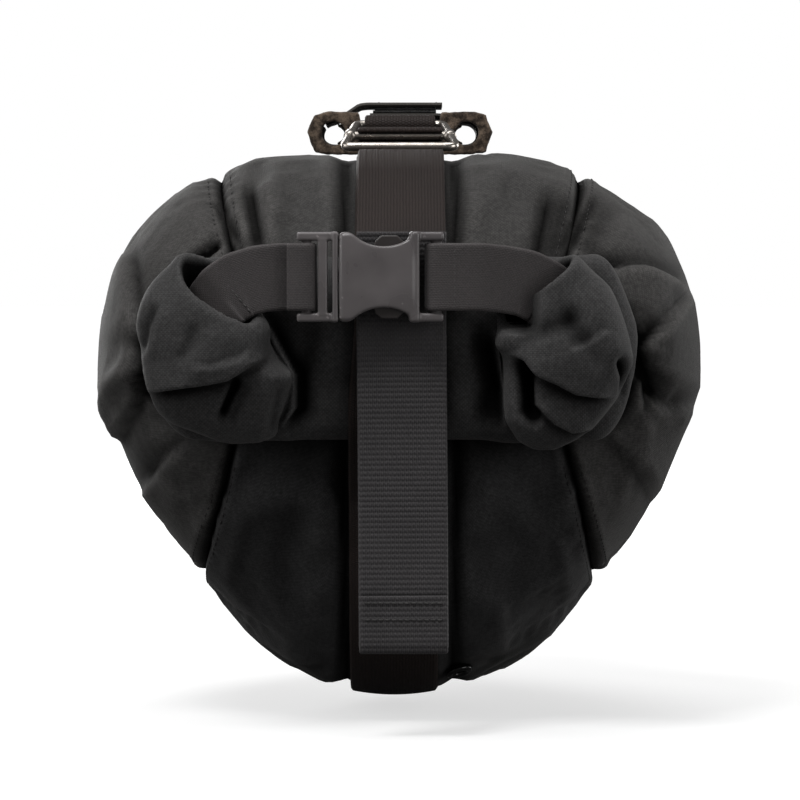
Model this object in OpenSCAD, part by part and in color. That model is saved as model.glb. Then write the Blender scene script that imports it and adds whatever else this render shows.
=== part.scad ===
// Roll-top saddle bag for a bicycle. It hangs behind the seatpost and under the saddle rails.
// Frame: +X right as seen from behind, +Y towards the front of the bicycle, +Z up.
// Origin: on the seatpost's axis, at the middle of the seatpost strap.

/* [Bag body] */
// Half of the greatest width
half_w = 92; // [80:1:110]
// Half of the width at the nose
nose_half_w = 33; // [26:1:45]
// Half of the width of the flattened mouth, where the roll starts
mouth_half_w = 68; // [62:1:70]
// Height of the highest point of the bag
bag_top = 112; // [108:1:113]
// Height of the lowest point of the bag
bag_bottom = -58; // [-70:1:-50]
// Height of the widest level of the bag
waist_z = 40; // [34:1:46]
// Distance from the seatpost's axis back to the flattened mouth
mouth_y = -228; // [-240:1:-220]
// Thickness of the outer fabric with its coating
cloth_t = 1.6; // [1.2:0.1:2]

/* [Roll closure] */
// Height of the middle of the roll
roll_z = 53; // [50:1:56]
// Half of the roll's height
roll_half_h = 27.5; // [26:0.5:29]
// Half of the roll's thickness
roll_half_t = 9; // [7:0.5:10]
// Distance from the middle plane to the folded-back tips
roll_tip_x = 37; // [34:1:42]

/* [Straps and buckle] */
// Width of the compression strap
strap_w = 28; // [25:1:28]
// Width of the closure straps
closure_w = 20; // [18:1:20]
// Thickness of webbing
web_t = 1.5; // [1.2:0.1:1.6]
// Length of the side-release buckle's socket
socket_l = 31.5; // [30:0.5:34]
// Height of the side-release buckle
buckle_h = 26.6; // [26:0.1:28]
// Height of the strap that wraps the seatpost
post_strap_h = 38; // [30:1:40]
// Length along the rails of the wrap that holds them
rail_wrap_l = 25; // [20:1:28]
// Diameter of the ladder lock's wire
wire_d = 3; // [2.6:0.2:3.2]

/* [Bicycle] */
// Diameter of the seatpost
post_d = 31.6; // [27.2:0.4:31.6]
// Angle by which the seatpost leans back from upright
post_lean = 16.5; // [15:0.5:18]
// Diameter of the saddle rails
rail_d = 7; // [7:0.1:7.2]
// Distance between the saddle rails' centres
rail_gap = 44; // [43:1:46]
// Height of the saddle rails above the origin
rail_z = 122.5; // [122:0.5:126]

/* [Hidden] */

CLOTH = [0.13, 0.13, 0.13];
WEBBING = [0.09, 0.085, 0.085];
PLASTIC = [0.2, 0.19, 0.19];
STEEL = [0.72, 0.7, 0.68];
RUBBER = [0.06, 0.06, 0.06];
LINING = [0.42, 0.43, 0.44];
RAIL_WRAP = [0.2, 0.17, 0.13];

gap = 0.25;              // clearance between pieces that only lie against each other
post_r = post_d / 2;
rail_r = rail_d / 2;
nose_y = -23;            // the nose's plane, measured at the origin's height
waist_y = -165;          // where the bag is widest and highest
belly_y = -130;          // where the bag is deepest
nose_top = 92;
nose_bottom = -36;
mouth_half_h = 3.5;
lower_taper = 0.33;      // how much narrower the lower half gets towards the bottom
seam_top = 56;           // angle of the seam between a side panel and the top panel
seam_low = -36;          // angle of the seam between a side panel and the base panel
seam_gap = 0.25;         // half of the gap at a seam, in degrees
nose_gap = 0.5;          // from the panels' ends to the nose panel
around = 6;              // degrees from one point to the next around a panel
along = 16;              // steps from the nose to the mouth

// ---- The bag's surface: u runs from the nose (0) to the mouth (1), a is the angle around it ----

function clamp01(v) = max(0, min(1, v));
function ease(v) = let (c = clamp01(v)) c * c * (3 - 2 * c);
function dome(y, start, n) = pow(max(0, 1 - pow(clamp01((y - start) / (mouth_y - start)), n)), 1 / n);
function station(u) = nose_y + (mouth_y - nose_y) * sin(90 * u);
function width_at(y) = y > waist_y
    ? nose_half_w + (half_w - nose_half_w) * ease((nose_y - y) / (nose_y - waist_y))
    : mouth_half_w + (half_w - mouth_half_w) * dome(y, waist_y, 2.4);
function top_at(y) = y > waist_y
    ? nose_top + (bag_top - nose_top) * ease((nose_y - y) / (nose_y - waist_y))
    : roll_z + mouth_half_h + (bag_top - roll_z - mouth_half_h) * dome(y, waist_y, 2);
function bottom_at(y) = y > belly_y
    ? nose_bottom + (bag_bottom - nose_bottom) * ease((nose_y - y) / (nose_y - belly_y))
    : roll_z - mouth_half_h + (bag_bottom - roll_z + mouth_half_h) * dome(y, belly_y, 3.2);
function middle_at(y) = y > waist_y ? waist_z : roll_z + (waist_z - roll_z) * dome(y, waist_y, 2.4);
function lean_at(y) = tan(post_lean) * (1 - ease((nose_y - y) / (nose_y - waist_y)));

// A cross-section: a superellipse, squarer above the waist and tapered below it
function section(y, a) =
    let (
        n = sin(a) >= 0 ? 3 : 2.3,
        r = pow(pow(abs(cos(a)), n) + pow(abs(sin(a)), n), -1 / n),
        height = sin(a) >= 0 ? top_at(y) - middle_at(y) : middle_at(y) - bottom_at(y),
        taper = sin(a) >= 0 ? 1 : 1 + lower_taper * r * sin(a),
        z = middle_at(y) + height * r * sin(a)
    )
    [width_at(y) * r * cos(a) * taper, y - lean_at(y) * z, z];
function skin_point(u, a) = section(station(u), a);
function unit(v) = v / norm(v);
function skin_normal(u, a) =
    let (d = 0.004, lo = max(0, u - d), hi = min(0.999, u + d))
    unit(cross(skin_point(u, a + 1) - skin_point(u, a - 1), skin_point(hi, a) - skin_point(lo, a)));
function bag(u, a, out) = skin_point(u, a) + out * skin_normal(u, a);

// ---- Solids from points ----

function steps(from, to, n) = [for (i = [0 : n]) from + (to - from) * i / n];

// A sheet with thickness, between two grids of points with the same rows and columns
module sheet(outer, inner) {
    rows = len(outer);
    cols = len(outer[0]);
    half = rows * cols;
    points = concat([for (r = outer) for (p = r) p], [for (r = inner) for (p = r) p]);
    function at(i, j, side) = side * half + i * cols + j;
    function quad(a, b, c, d) = [[a, c, b], [a, d, c]];
    faces = concat(
        [for (i = [0 : rows - 2]) for (j = [0 : cols - 2])
            each quad(at(i, j, 0), at(i, j + 1, 0), at(i + 1, j + 1, 0), at(i + 1, j, 0))],
        [for (i = [0 : rows - 2]) for (j = [0 : cols - 2])
            each quad(at(i, j, 1), at(i + 1, j, 1), at(i + 1, j + 1, 1), at(i, j + 1, 1))],
        [for (j = [0 : cols - 2])
            each quad(at(0, j, 0), at(0, j, 1), at(0, j + 1, 1), at(0, j + 1, 0))],
        [for (j = [0 : cols - 2])
            let (i = rows - 1) each quad(at(i, j, 0), at(i, j + 1, 0), at(i, j + 1, 1), at(i, j, 1))],
        [for (i = [0 : rows - 2])
            each quad(at(i, 0, 0), at(i + 1, 0, 0), at(i + 1, 0, 1), at(i, 0, 1))],
        [for (i = [0 : rows - 2])
            let (j = cols - 1) each quad(at(i, j, 0), at(i, j, 1), at(i + 1, j, 1), at(i + 1, j, 0))]
    );
    polyhedron(points, faces);
}

// A closed solid through rings of points, with flat ends
module loft(rings) {
    n = len(rings[0]);
    last = len(rings) - 1;
    points = [for (r = rings) for (p = r) p];
    faces = concat(
        [for (k = [1 : n - 2]) [0, k, k + 1]],
        [for (i = [0 : last - 1]) for (k = [0 : n - 1]) let (m = (k + 1) % n)
            each [[i * n + k, (i + 1) * n + k, (i + 1) * n + m], [i * n + k, (i + 1) * n + m, i * n + m]]],
        [for (k = [1 : n - 2]) [last * n, last * n + k + 1, last * n + k]]
    );
    polyhedron(points, faces);
}

// A patch of the bag's surface between two angles, two stations and two depths
module bag_patch(a0, a1, u0, u1, out, inside, rows = along) {
    angles = steps(a0, a1, ceil((a1 - a0) / around));
    spots = steps(u0, u1, rows);
    sheet([for (u = spots) [for (a = angles) bag(u, a, out)]],
          [for (u = spots) [for (a = angles) bag(u, a, inside)]]);
}

function bag_ring(u, out, shift = 0, size = 1) =
    let (c = [0, 0, (nose_top + nose_bottom) / 2])
    [for (a = [0 : around : 360 - around])
        let (p = bag(u, a, out)) [p.x * size, p.y + shift + lean_at(nose_y) * (p.z - c.z) * (1 - size),
                                  c.z + (p.z - c.z) * size]];

// A strip of webbing along a path of [y, z] points, as wide as w across X
module ribbon(path, w, t = web_t) {
    n = len(path);
    function dir(i) = unit(path[min(n - 1, i + 1)] - path[max(0, i - 1)]);
    function side(s) = [for (i = [0 : n - 1]) path[i] + s * t / 2 * [-dir(i).y, dir(i).x]];
    right = side(-1);
    rotate([90, 0, 90]) linear_extrude(w, center = true)
        polygon(concat(side(1), [for (i = [n - 1 : -1 : 0]) right[i]]));
}

// ---- The sewn bag ----

module top_panel() {
    color(CLOTH) bag_patch(seam_top + seam_gap, 180 - seam_top - seam_gap, 0, 1, 0, -cloth_t);
}

module side_panel_right() {
    color(CLOTH) bag_patch(seam_low + seam_gap, seam_top - seam_gap, 0, 1, 0, -cloth_t);
}

module side_panel_left() {
    mirror([1, 0, 0]) side_panel_right();
}

eyelet_u = 0.6;
eyelet_a = -73;
eyelet_hole_r = 2.6;

// Places a child on the bag's surface at the eyelet, with its +Z along the surface's normal
module at_eyelet() {
    n = skin_normal(eyelet_u, eyelet_a);
    translate(skin_point(eyelet_u, eyelet_a))
        rotate([0, acos(n.z), atan2(n.y, n.x)])
        children();
}

module base_panel() {
    color(CLOTH * 0.8) difference() {
        bag_patch(-180 - seam_low + seam_gap, seam_low - seam_gap, 0, 1, 0, -cloth_t);
        at_eyelet() cylinder(h = 20, r = eyelet_hole_r, center = true, $fn = 32);
    }
}

module drain_eyelet() {
    color(PLASTIC) at_eyelet() rotate_extrude($fn = 48)
        polygon([[1.8, -3.4], [2.5, -3.4], [2.5, 0.35], [4.2, 0.35], [3.9, 1.2], [3, 1.5], [1.8, 0.9]]);
}

module eyelet_washer() {
    color(PLASTIC) at_eyelet() translate([0, 0, -cloth_t - 1.5]) difference() {
        cylinder(h = 0.7, r = 4.2, $fn = 48);
        translate([0, 0, -1]) cylinder(h = 3, r = 2.55, $fn = 48);
    }
}

module nose_panel() {
    color(CLOTH * 0.8) loft([bag_ring(0, 0, nose_gap + cloth_t), bag_ring(0, 0, nose_gap)]);
}

module nose_stiffener() {
    color(PLASTIC) loft([bag_ring(0, 0, -0.5, 0.84), bag_ring(0, 0, -2.3, 0.84)]);
}

lining_t = 0.8;
lining_depth = 3.9;

module liner() {
    spots = steps(0.07, 0.955, 12);
    inner = lining_depth + lining_t;
    color(LINING) difference() {
        loft([for (u = spots) bag_ring(u, -lining_depth)]);
        loft(concat(
            [for (i = [0 : 12]) bag_ring(i == 0 ? spots[0] + 0.008 : spots[i], -inner)],
            [[for (p = bag_ring(0.955, -inner)) p - [0, 12, 0]]]
        ));
    }
}

module base_stiffener() {
    color(PLASTIC) bag_patch(-128, -52, 0.1, 0.5, -2.15, -3.15, 8);
}

module seam_tape_right() {
    color(WEBBING) bag_patch(seam_low - 3, seam_low + 3, 0.06, 0.9, -cloth_t - 0.55, -cloth_t - 1.2);
}

module seam_tape_left() {
    mirror([1, 0, 0]) seam_tape_right();
}

// ---- The roll, folded back on itself at both ends ----

roll_y = mouth_y - roll_half_t - 0.6;
fold_r = roll_half_t + 1.4;                    // radius of the roll's middle line round each fold
fold_x = mouth_half_w - fold_r - 5;
tip_y = roll_y - 2 * fold_r;

// The middle line of the right half, from the middle plane out to the fold and back to the tip
roll_line = concat(
    [for (x = steps(0, fold_x, 6)) [x, roll_y, 0]],
    [for (a = [75 : -15 : -75]) [fold_x + fold_r * cos(a), roll_y - fold_r + fold_r * sin(a), 0]],
    [for (x = steps(fold_x, roll_tip_x, 2)) [x, tip_y, 0]]
);
roll_path = concat(
    [for (i = [len(roll_line) - 1 : -1 : 1]) [-roll_line[i].x, roll_line[i].y, 0]], roll_line
);

// A ring across the roll's path, from a half-thickness, a half-height and the ring's corner angles
function roll_ring(i, half_t, half_h, angles) =
    let (
        n = len(roll_path),
        p = roll_path[i],
        d = unit(roll_path[min(n - 1, i + 1)] - roll_path[max(0, i - 1)]),
        side = [-d.y, d.x, 0]
    )
    [for (a = angles) p + side * half_t * cos(a) + [0, 0, roll_z + half_h * sin(a)]];

channel_half_h = 11.5;
channel_half_t = 1.8;
pocket_wall = 1.8;
pocket_l = 13;
corner_angles = [45, 135, 225, 315];           // a four-point ring: a rectangle's corners

module roll_closure() {
    n = len(roll_path);
    color(CLOTH) difference() {
        loft([for (i = [0 : n - 1]) roll_ring(i, roll_half_t, roll_half_h, [for (a = [0 : 15 : 345]) a])]);
        loft([for (i = [0 : n - 1])
            [for (p = roll_ring(i, channel_half_t * sqrt(2), channel_half_h * sqrt(2), corner_angles))
                p + (i == 0 ? [3, 0, 0] : i == n - 1 ? [-3, 0, 0] : [0, 0, 0])]]);
        for (s = [-1, 1])
            translate([s * roll_tip_x, tip_y, roll_z]) rotate([0, s * 90, 0]) translate([0, 0, -3])
                linear_extrude(pocket_l + 3)
                    scale([roll_half_h - pocket_wall, roll_half_t - pocket_wall]) circle(r = 1, $fn = 48);
    }
}

module collar_stiffener() {
    n = len(roll_path);
    color(PLASTIC) loft([for (i = [0 : n - 1])
        [for (p = roll_ring(i, 0.5 * sqrt(2), 10 * sqrt(2), corner_angles))
            p + (i == 0 ? [-4, 0, 0] : i == n - 1 ? [4, 0, 0] : [0, 0, 0])]]);
}

// ---- The side-release buckle, in its own frame: X from the socket's mouth, Z up ----

buckle_x = -18.4;                              // the socket's mouth
buckle_y = -258.2;
buckle_z = 74.5;
buckle_t = 8.4;
frame_h = 21.4;                                // height of the windows the webbing passes through
plug_l = 12.2;                                 // length of the plug's strap frame
plug_bar_x = -5.4;                             // the bar that the left strap goes round
plug_bar_r = 1.8;
socket_bar_x = 29.1;                           // the bar that the right strap goes round
socket_bar_r = 1.7;
arm_z = 6.4;
arm_l = 20;
arm_t = 2.6;
arm_root_x = 1.8;                              // where each arm bends

module at_buckle() {
    translate([buckle_x, buckle_y, buckle_z]) children();
}

// A block from x0 to x1, centred on Y and Z
module block(x0, x1, ty, hz) {
    translate([x0, -ty / 2, -hz / 2]) cube([x1 - x0, ty, hz]);
}

module buckle_socket() {
    color(PLASTIC) at_buckle() {
        difference() {
            block(0.4, socket_l, buckle_t, buckle_h);
            block(-1, 22.2, 4.6, 21.6);
            for (s = [-1, 1]) {
                // waists, where the arms' shoulders stand proud to be pressed
                translate([15.5, 0, s * (buckle_h / 2 + 4.2)]) rotate([90, 0, 0])
                    cylinder(h = 20, r = 8.2, center = true, $fn = 48);
                translate([9.6, -2.3, s > 0 ? 9 : -15]) cube([12, 4.6, 6]);
            }
            block(24.2, socket_l + 1, 20, frame_h);
            for (s = [-1, 1]) translate([24, s > 0 ? 2.4 : -12.4, -20]) cube([20, 10, 40]);
        }
        translate([socket_bar_x, 0, -frame_h / 2 - 0.5]) cylinder(h = frame_h + 1, r = socket_bar_r, $fn = 32);
    }
}

module buckle_plug() {
    color(PLASTIC) at_buckle() {
        difference() {
            block(-plug_l, 0, 4, buckle_h);
            block(-plug_l - 1, -1.4, 20, frame_h);
        }
        translate([plug_bar_x, 0, -frame_h / 2 - 0.5]) cylinder(h = frame_h + 1, r = plug_bar_r, $fn = 32);
        block(-0.1, 12, 2.2, 3.4);
    }
}

// A springy arm with the shoulder that catches behind the socket's window; s is 1 above and -1 below
module plug_arm(s) {
    translate([0, 0, s * arm_z]) rotate([90, 0, 0]) {
        translate([arm_root_x, 0, 0]) cylinder(h = 4.2, r = arm_t / 2, center = true, $fn = 48);
        linear_extrude(4, center = true)
            polygon([
                [arm_root_x, (-arm_t / 2 + 0.1) * s], [12, (-arm_t / 2 - 0.3) * s], [arm_l, 1.4 * s],
                [arm_l, 3.6 * s], [17.6, 5.9 * s], [13, 5.9 * s], [11, 4.2 * s], [10.4, 1.6 * s],
                [arm_root_x, (arm_t / 2 - 0.1) * s]
            ]);
    }
}

module plug_arm_upper() {
    color(PLASTIC) at_buckle() plug_arm(1);
}

module plug_arm_lower() {
    color(PLASTIC) at_buckle() plug_arm(-1);
}

// ---- Closure straps: from the stiffener inside each tip to the buckle ----

// A strip across Z, along a path of [x, y] points
module flat_strip(path, w, z, t = web_t) {
    n = len(path);
    function dir(i) = unit(path[min(n - 1, i + 1)] - path[max(0, i - 1)]);
    function side(s) = [for (i = [0 : n - 1]) path[i] + s * t / 2 * [-dir(i).y, dir(i).x]];
    right = side(-1);
    translate([0, 0, z - w / 2]) linear_extrude(w)
        polygon(concat(side(1), [for (i = [n - 1 : -1 : 0]) right[i]]));
}

function loop_round(cx, cy, r, from, to) = [for (a = steps(from, to, 8)) [cx + r * cos(a), cy + r * sin(a)]];

climb_x = 27;                                  // each strap climbs between this distance from the middle
climb_end_x = 45.5;                              // and this one, where it lies against the stiffener
closure_rise = buckle_z - roll_z - 7;

// The part of a strap inside a tip, sloping up towards the buckle from the back ply at y; s is its side
module climbing_strip(s, y) {
    k = -s * closure_rise / (climb_end_x - climb_x);
    multmatrix([[1, 0, 0, 0], [0, 1, 0, 0], [k, 0, 1, -k * s * climb_x], [0, 0, 0, 1]])
        flat_strip([[s * climb_x, y], [s * (climb_x + 4.5), y], [s * (roll_tip_x + 3), tip_y + 1.45],
                    [s * climb_end_x, tip_y + 1.45]], closure_w, buckle_z);
}

module closure_strap_left() {
    bar_x = buckle_x + plug_bar_x;
    r = plug_bar_r + 0.3 + web_t / 2;
    color(WEBBING) {
        flat_strip(concat(
            [[-climb_x, buckle_y + r], [bar_x - 1.5, buckle_y + r]],
            loop_round(bar_x, buckle_y, r, 90, -90),
            [[bar_x - 4, buckle_y - r], [bar_x - 9, buckle_y - r]]
        ), closure_w, buckle_z);
        climbing_strip(-1, buckle_y + r);
    }
}

module closure_strap_right() {
    bar_x = buckle_x + socket_bar_x;
    r = socket_bar_r + 0.3 + web_t / 2;
    color(WEBBING) {
        flat_strip(concat(
            [[climb_x, buckle_y + r], [bar_x + 3, buckle_y + r]],
            loop_round(bar_x, buckle_y, r, 90, 270),
            [[bar_x + 2, buckle_y - r + 0.2], [bar_x + 6, buckle_y + r - web_t - gap],
             [bar_x + 13, buckle_y + r - web_t - gap]]
        ), closure_w, buckle_z);
        climbing_strip(1, buckle_y + r);
    }
}

// ---- Compression strap: under the bag, up over the roll, round the ladder lock and back down ----

wire_r = wire_d / 2;
near_bar = [-149.5, 116.7];                    // [y, z] of the ladder lock's bars
far_bar = [-125.5, 124.7];
middle_bar = (near_bar + far_bar) / 2;
ply = web_t + 0.2;                             // from one layer of webbing to the next
wrap_r = wire_r + 0.2 + web_t / 2;
hug = web_t / 2 + 0.2;                         // from a surface to the middle of webbing lying on it

function side_view(points) = [for (p = points) [p.y, p.z]];
function arc_round(c, r, from, to, n) = [for (a = steps(from, to, n)) c + r * [cos(a), sin(a)]];
function over_roll(out, from, to) = [for (a = steps(from, to, round(abs(to - from) / 7)))
    [roll_y - roll_half_t * cos(a), roll_z + roll_half_h * sin(a)]
        + out * unit([-roll_half_h * cos(a), roll_half_t * sin(a)])];
function over_top(out, from, to) = side_view([for (u = steps(from, to, 7)) bag(u, 90, out)]);

load_path = concat(
    side_view([for (u = steps(0.3, 0.92, 14)) bag(u, -90, hug)]),
    over_roll(hug, -67, 80),
    over_top(hug, 0.63, 0.415),
    arc_round(middle_bar, wrap_r, -55, 150, 8),
    arc_round(near_bar, wrap_r, -40, -90, 3),
    over_top(hug + ply, 0.43, 0.63),
    over_roll(hug + ply, 80, 24)
);

module compression_strap() {
    color(WEBBING) ribbon(load_path, strap_w);
}

tail_y = roll_y - roll_half_t - hug - 2 * ply;
tail_top = 88;
tail_end = -36;

module strap_tail() {
    color(WEBBING) {
        ribbon([[tail_y, tail_top], [tail_y, tail_end]], strap_w);
        // the end folded over and sewn
        ribbon([[tail_y - web_t + 0.1, tail_end + 15], [tail_y - web_t + 0.1, tail_end]], strap_w);
    }
}

// ---- Ladder lock: a wire frame with two bars and a third across the middle ----

near_x = 18;
far_x = 14.2;

// A rod between two points
module rod(a, b, r) {
    d = b - a;
    translate(a) rotate([0, acos(d.z / norm(d)), atan2(d.y, d.x)]) cylinder(h = norm(d), r = r, $fn = 32);
}

function at_bar(x, bar) = [x, bar.x, bar.y];

module ladder_lock_frame() {
    past = 1.2;                                // the bars run on past the arms' centres
    color(STEEL) {
        rod(at_bar(-near_x - past, near_bar), at_bar(near_x + past, near_bar), wire_r);
        rod(at_bar(-far_x - past, far_bar), at_bar(far_x + past, far_bar), wire_r);
        for (s = [-1, 1]) rod(at_bar(s * near_x, near_bar), at_bar(s * far_x, far_bar), wire_r - 0.15);
    }
}

module ladder_lock_bar() {
    half = (near_x + far_x) / 2 - wire_r - 0.5;
    color(STEEL) rod(at_bar(-half, middle_bar), at_bar(half, middle_bar), wire_r);
}

// ---- Sling: sewn to the top panel, over the rail wrap and back to the ladder lock ----

anchor_w = 23;
rail_y = -92.5;                                // the middle of the rail wrap
spacer_half_h = rail_r - 0.05;
sling_z = rail_z + spacer_half_h + 0.2 + web_t / 2;

module anchor_loop() {
    half = rail_wrap_l / 2;
    start = bag(0.012, 90, hug);
    bend = bag(0.055, 90, hug);
    color(WEBBING) ribbon(concat(
        [[start.y, start.z], [bend.y, bend.z], [rail_y + half + 2.5, sling_z - 1.5], [rail_y + half, sling_z],
         [rail_y - half, sling_z], [rail_y - half - 5, sling_z]],
        arc_round(far_bar, wrap_r, 90, 270, 8),
        [[rail_y - half - 8, far_bar.y - wrap_r + 0.6]]
    ), anchor_w);
}

// ---- Rail wrap: holds both rails, closed on top by a hook-and-loop flap ----

band_t = 1.5;
rail_x = rail_gap / 2;
rail_in = rail_r + 0.05;                       // inner radius of the wrap round a rail
band_r = rail_in + band_t / 2;
left_end = 145;                                // where the wrap ends, round the left rail
flap_hinge_a = 130;                            // where the flap starts, round the left rail
tongue_z = sling_z - rail_z + web_t / 2 + 0.2; // underside of the tongue, above the rails' centres
tongue_x = -10;
patch_t = 0.8;
skim = 0.02;                                   // straight runs lie this much off the round ones
flap_z = tongue_z + band_t + 2 * patch_t + 3 * 0.15;
flap_hinge = [-rail_x + band_r * cos(flap_hinge_a), band_r * sin(flap_hinge_a)];

// Places shapes drawn with X across and Y up on the wrap, and extrudes them along the rails
module along_rails(l) {
    translate([0, rail_y, rail_z]) rotate([90, 0, 0])
        for (i = [0 : $children - 1]) linear_extrude(l, center = true) children(i);
}

module ring_2d(r0, r1) {
    difference() {
        circle(r = r1, $fn = 64);
        circle(r = r0, $fn = 64);
    }
}

// A strip of the thickness t that follows a path of points, in 2D
module strip_2d(path, t) {
    n = len(path);
    function dir(i) = unit(path[min(n - 1, i + 1)] - path[max(0, i - 1)]);
    function side(s) = [for (i = [0 : n - 1]) path[i] + s * t / 2 * [-dir(i).y, dir(i).x]];
    right = side(-1);
    polygon(concat(side(1), [for (i = [n - 1 : -1 : 0]) right[i]]));
}

module rail_strap() {
    color(RAIL_WRAP) along_rails(rail_wrap_l) {
        translate([-rail_x - 0.4, -rail_in - band_t - skim]) square([2 * rail_x + 0.8, band_t]);
        translate([rail_x, 0]) intersection() {
            ring_2d(rail_in, rail_in + band_t);
            translate([0, -10]) square([20, 20]);
        }
        translate([-rail_x, 0]) difference() {
            ring_2d(rail_in, rail_in + band_t);
            polygon([[0, 0], [0, -20], [20, -20], [20, 20], [-4, 20], 20 * [cos(left_end), sin(left_end)]]);
        }
        strip_2d([[rail_x + 0.4, band_r + skim], [rail_x - 1, band_r + skim], [14.8, tongue_z + band_t / 2 - 0.25],
                  [12.5, tongue_z + band_t / 2], [tongue_x, tongue_z + band_t / 2]], band_t);
    }
}

module rail_spacer() {
    color(RAIL_WRAP * 1.6) along_rails(rail_wrap_l) difference() {
        translate([-rail_x, -spacer_half_h]) square([2 * rail_x, 2 * spacer_half_h]);
        for (s = [-1, 1]) translate([s * rail_x, 0]) circle(r = rail_in + 0.05, $fn = 64);
    }
}

// A flat patch on top of the wrap, from x0 to x1, with its underside at z above the rails' centres
module rail_patch(x0, x1, z) {
    along_rails(rail_wrap_l - 2) translate([x0, z]) square([x1 - x0, patch_t]);
}

module rail_loop_patch() {
    color(WEBBING) rail_patch(tongue_x + 1, 12, tongue_z + band_t + 0.15);
}

module rail_hook_patch() {
    color(PLASTIC) rail_patch(tongue_x + 1.5, 12, flap_z - 0.15 - patch_t);
}

module rail_strap_flap() {
    color(RAIL_WRAP) along_rails(rail_wrap_l) {
        translate(flap_hinge) circle(r = band_t / 2 + 0.05, $fn = 32);
        strip_2d([flap_hinge, [-rail_x + band_r * cos(110), band_r * sin(110)], [-rail_x, band_r + 0.1],
                  [-rail_x + 3, band_r + 1.3], [-13.5, flap_z + band_t / 2 - 0.3], [-11, flap_z + band_t / 2],
                  [14, flap_z + band_t / 2]], band_t);
    }
}

// ---- Seatpost strap: closed round the front of the post by a hook-and-loop flap ----

pad_t = 2.4;
strap_in = post_r + pad_t + 0.3;               // inner radius of the strap round the pad
strap_mid = strap_in + web_t / 2;
fixed_end = 152;                               // where the fixed part starts, left of the front
fixed_tip = 60;                                // where it ends, right of the front
post_hinge_a = 149;
post_patch_t = 0.9;

// Stands upright along the seatpost, with X to the right and Y forwards
module along_post(h) {
    rotate([post_lean, 0, 0]) for (i = [0 : $children - 1]) linear_extrude(h, center = true) children(i);
}

// A wedge from angle a0 to angle a1, counter-clockwise
module wedge(a0, a1) {
    polygon(concat([[0, 0]], [for (a = steps(a0, a1, 6)) 60 * [cos(a), sin(a)]]));
}

module post_band(r0, r1, a0, a1) {
    difference() {
        ring_2d(r0, r1);
        wedge(a1, a0 + 360);
    }
}

module post_pad() {
    color(RUBBER) along_post(post_strap_h - 4)
        post_band(post_r + 0.05, post_r + pad_t, fixed_end, fixed_tip + 360);
}

module post_strap() {
    color(WEBBING) along_post(post_strap_h) post_band(strap_in, strap_in + web_t, fixed_end, fixed_tip + 360);
}

module post_loop_patch() {
    r = strap_in + web_t + 0.15;
    color(WEBBING) along_post(post_strap_h - 4) post_band(r, r + post_patch_t, -20, fixed_tip - 2);
}

module post_hook_patch() {
    r = strap_in + web_t + post_patch_t + 0.3;
    color(PLASTIC) along_post(post_strap_h - 4) post_band(r, r + post_patch_t, -14, fixed_tip - 4);
}

flap_r = strap_in + 2 * web_t - web_t / 2 + 2 * post_patch_t + 0.5;

module post_strap_flap() {
    hinge = strap_mid * [cos(post_hinge_a), sin(post_hinge_a)];
    color(WEBBING) along_post(post_strap_h) {
        translate(hinge) circle(r = web_t / 2 + 0.05, $fn = 32);
        strip_2d(concat(
            [for (a = steps(post_hinge_a, 60, 9)) let (k = ease((140 - a) / 80))
                (strap_mid + (flap_r - strap_mid) * k) * [cos(a), sin(a)]],
            [for (a = steps(54, -16, 9)) flap_r * [cos(a), sin(a)]]
        ), web_t);
    }
}

top_panel();
side_panel_left();
side_panel_right();
base_panel();
nose_panel();
liner();
base_stiffener();
nose_stiffener();
seam_tape_left();
seam_tape_right();
roll_closure();
collar_stiffener();
closure_strap_left();
closure_strap_right();
buckle_socket();
buckle_plug();
plug_arm_upper();
plug_arm_lower();
compression_strap();
strap_tail();
ladder_lock_frame();
ladder_lock_bar();
anchor_loop();
rail_strap();
rail_spacer();
rail_loop_patch();
rail_strap_flap();
rail_hook_patch();
post_strap();
post_loop_patch();
post_strap_flap();
post_hook_patch();
post_pad();
drain_eyelet();
eyelet_washer();
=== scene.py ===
import math

import bmesh
import bpy
import numpy as np
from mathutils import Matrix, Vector, noise


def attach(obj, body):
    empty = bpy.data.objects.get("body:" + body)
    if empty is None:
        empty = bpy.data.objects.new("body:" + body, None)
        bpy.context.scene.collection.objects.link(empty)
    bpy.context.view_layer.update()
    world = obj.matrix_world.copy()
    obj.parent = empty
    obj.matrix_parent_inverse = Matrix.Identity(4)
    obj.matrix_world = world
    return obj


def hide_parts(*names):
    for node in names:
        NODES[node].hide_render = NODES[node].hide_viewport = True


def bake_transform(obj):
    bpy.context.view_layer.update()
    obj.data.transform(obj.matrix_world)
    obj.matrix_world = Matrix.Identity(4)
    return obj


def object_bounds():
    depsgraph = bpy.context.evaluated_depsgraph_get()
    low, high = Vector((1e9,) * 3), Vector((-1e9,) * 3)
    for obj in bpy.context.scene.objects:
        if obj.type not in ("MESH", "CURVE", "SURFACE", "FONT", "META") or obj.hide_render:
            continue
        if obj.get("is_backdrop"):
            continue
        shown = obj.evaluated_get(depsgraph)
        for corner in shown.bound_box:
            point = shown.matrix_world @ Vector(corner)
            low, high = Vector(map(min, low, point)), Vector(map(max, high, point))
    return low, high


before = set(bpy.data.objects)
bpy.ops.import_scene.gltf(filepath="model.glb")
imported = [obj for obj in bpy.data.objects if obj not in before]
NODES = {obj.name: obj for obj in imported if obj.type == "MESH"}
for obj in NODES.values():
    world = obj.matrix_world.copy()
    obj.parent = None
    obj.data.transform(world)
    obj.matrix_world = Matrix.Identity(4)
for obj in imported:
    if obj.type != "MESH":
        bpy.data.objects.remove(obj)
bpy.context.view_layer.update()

MM = 0.001

# ---------------------------------------------------------------- materials


OBJECT_SPACE, POINTINESS = 3, 7  # outputs of the Texture Coordinate and Geometry nodes


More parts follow.
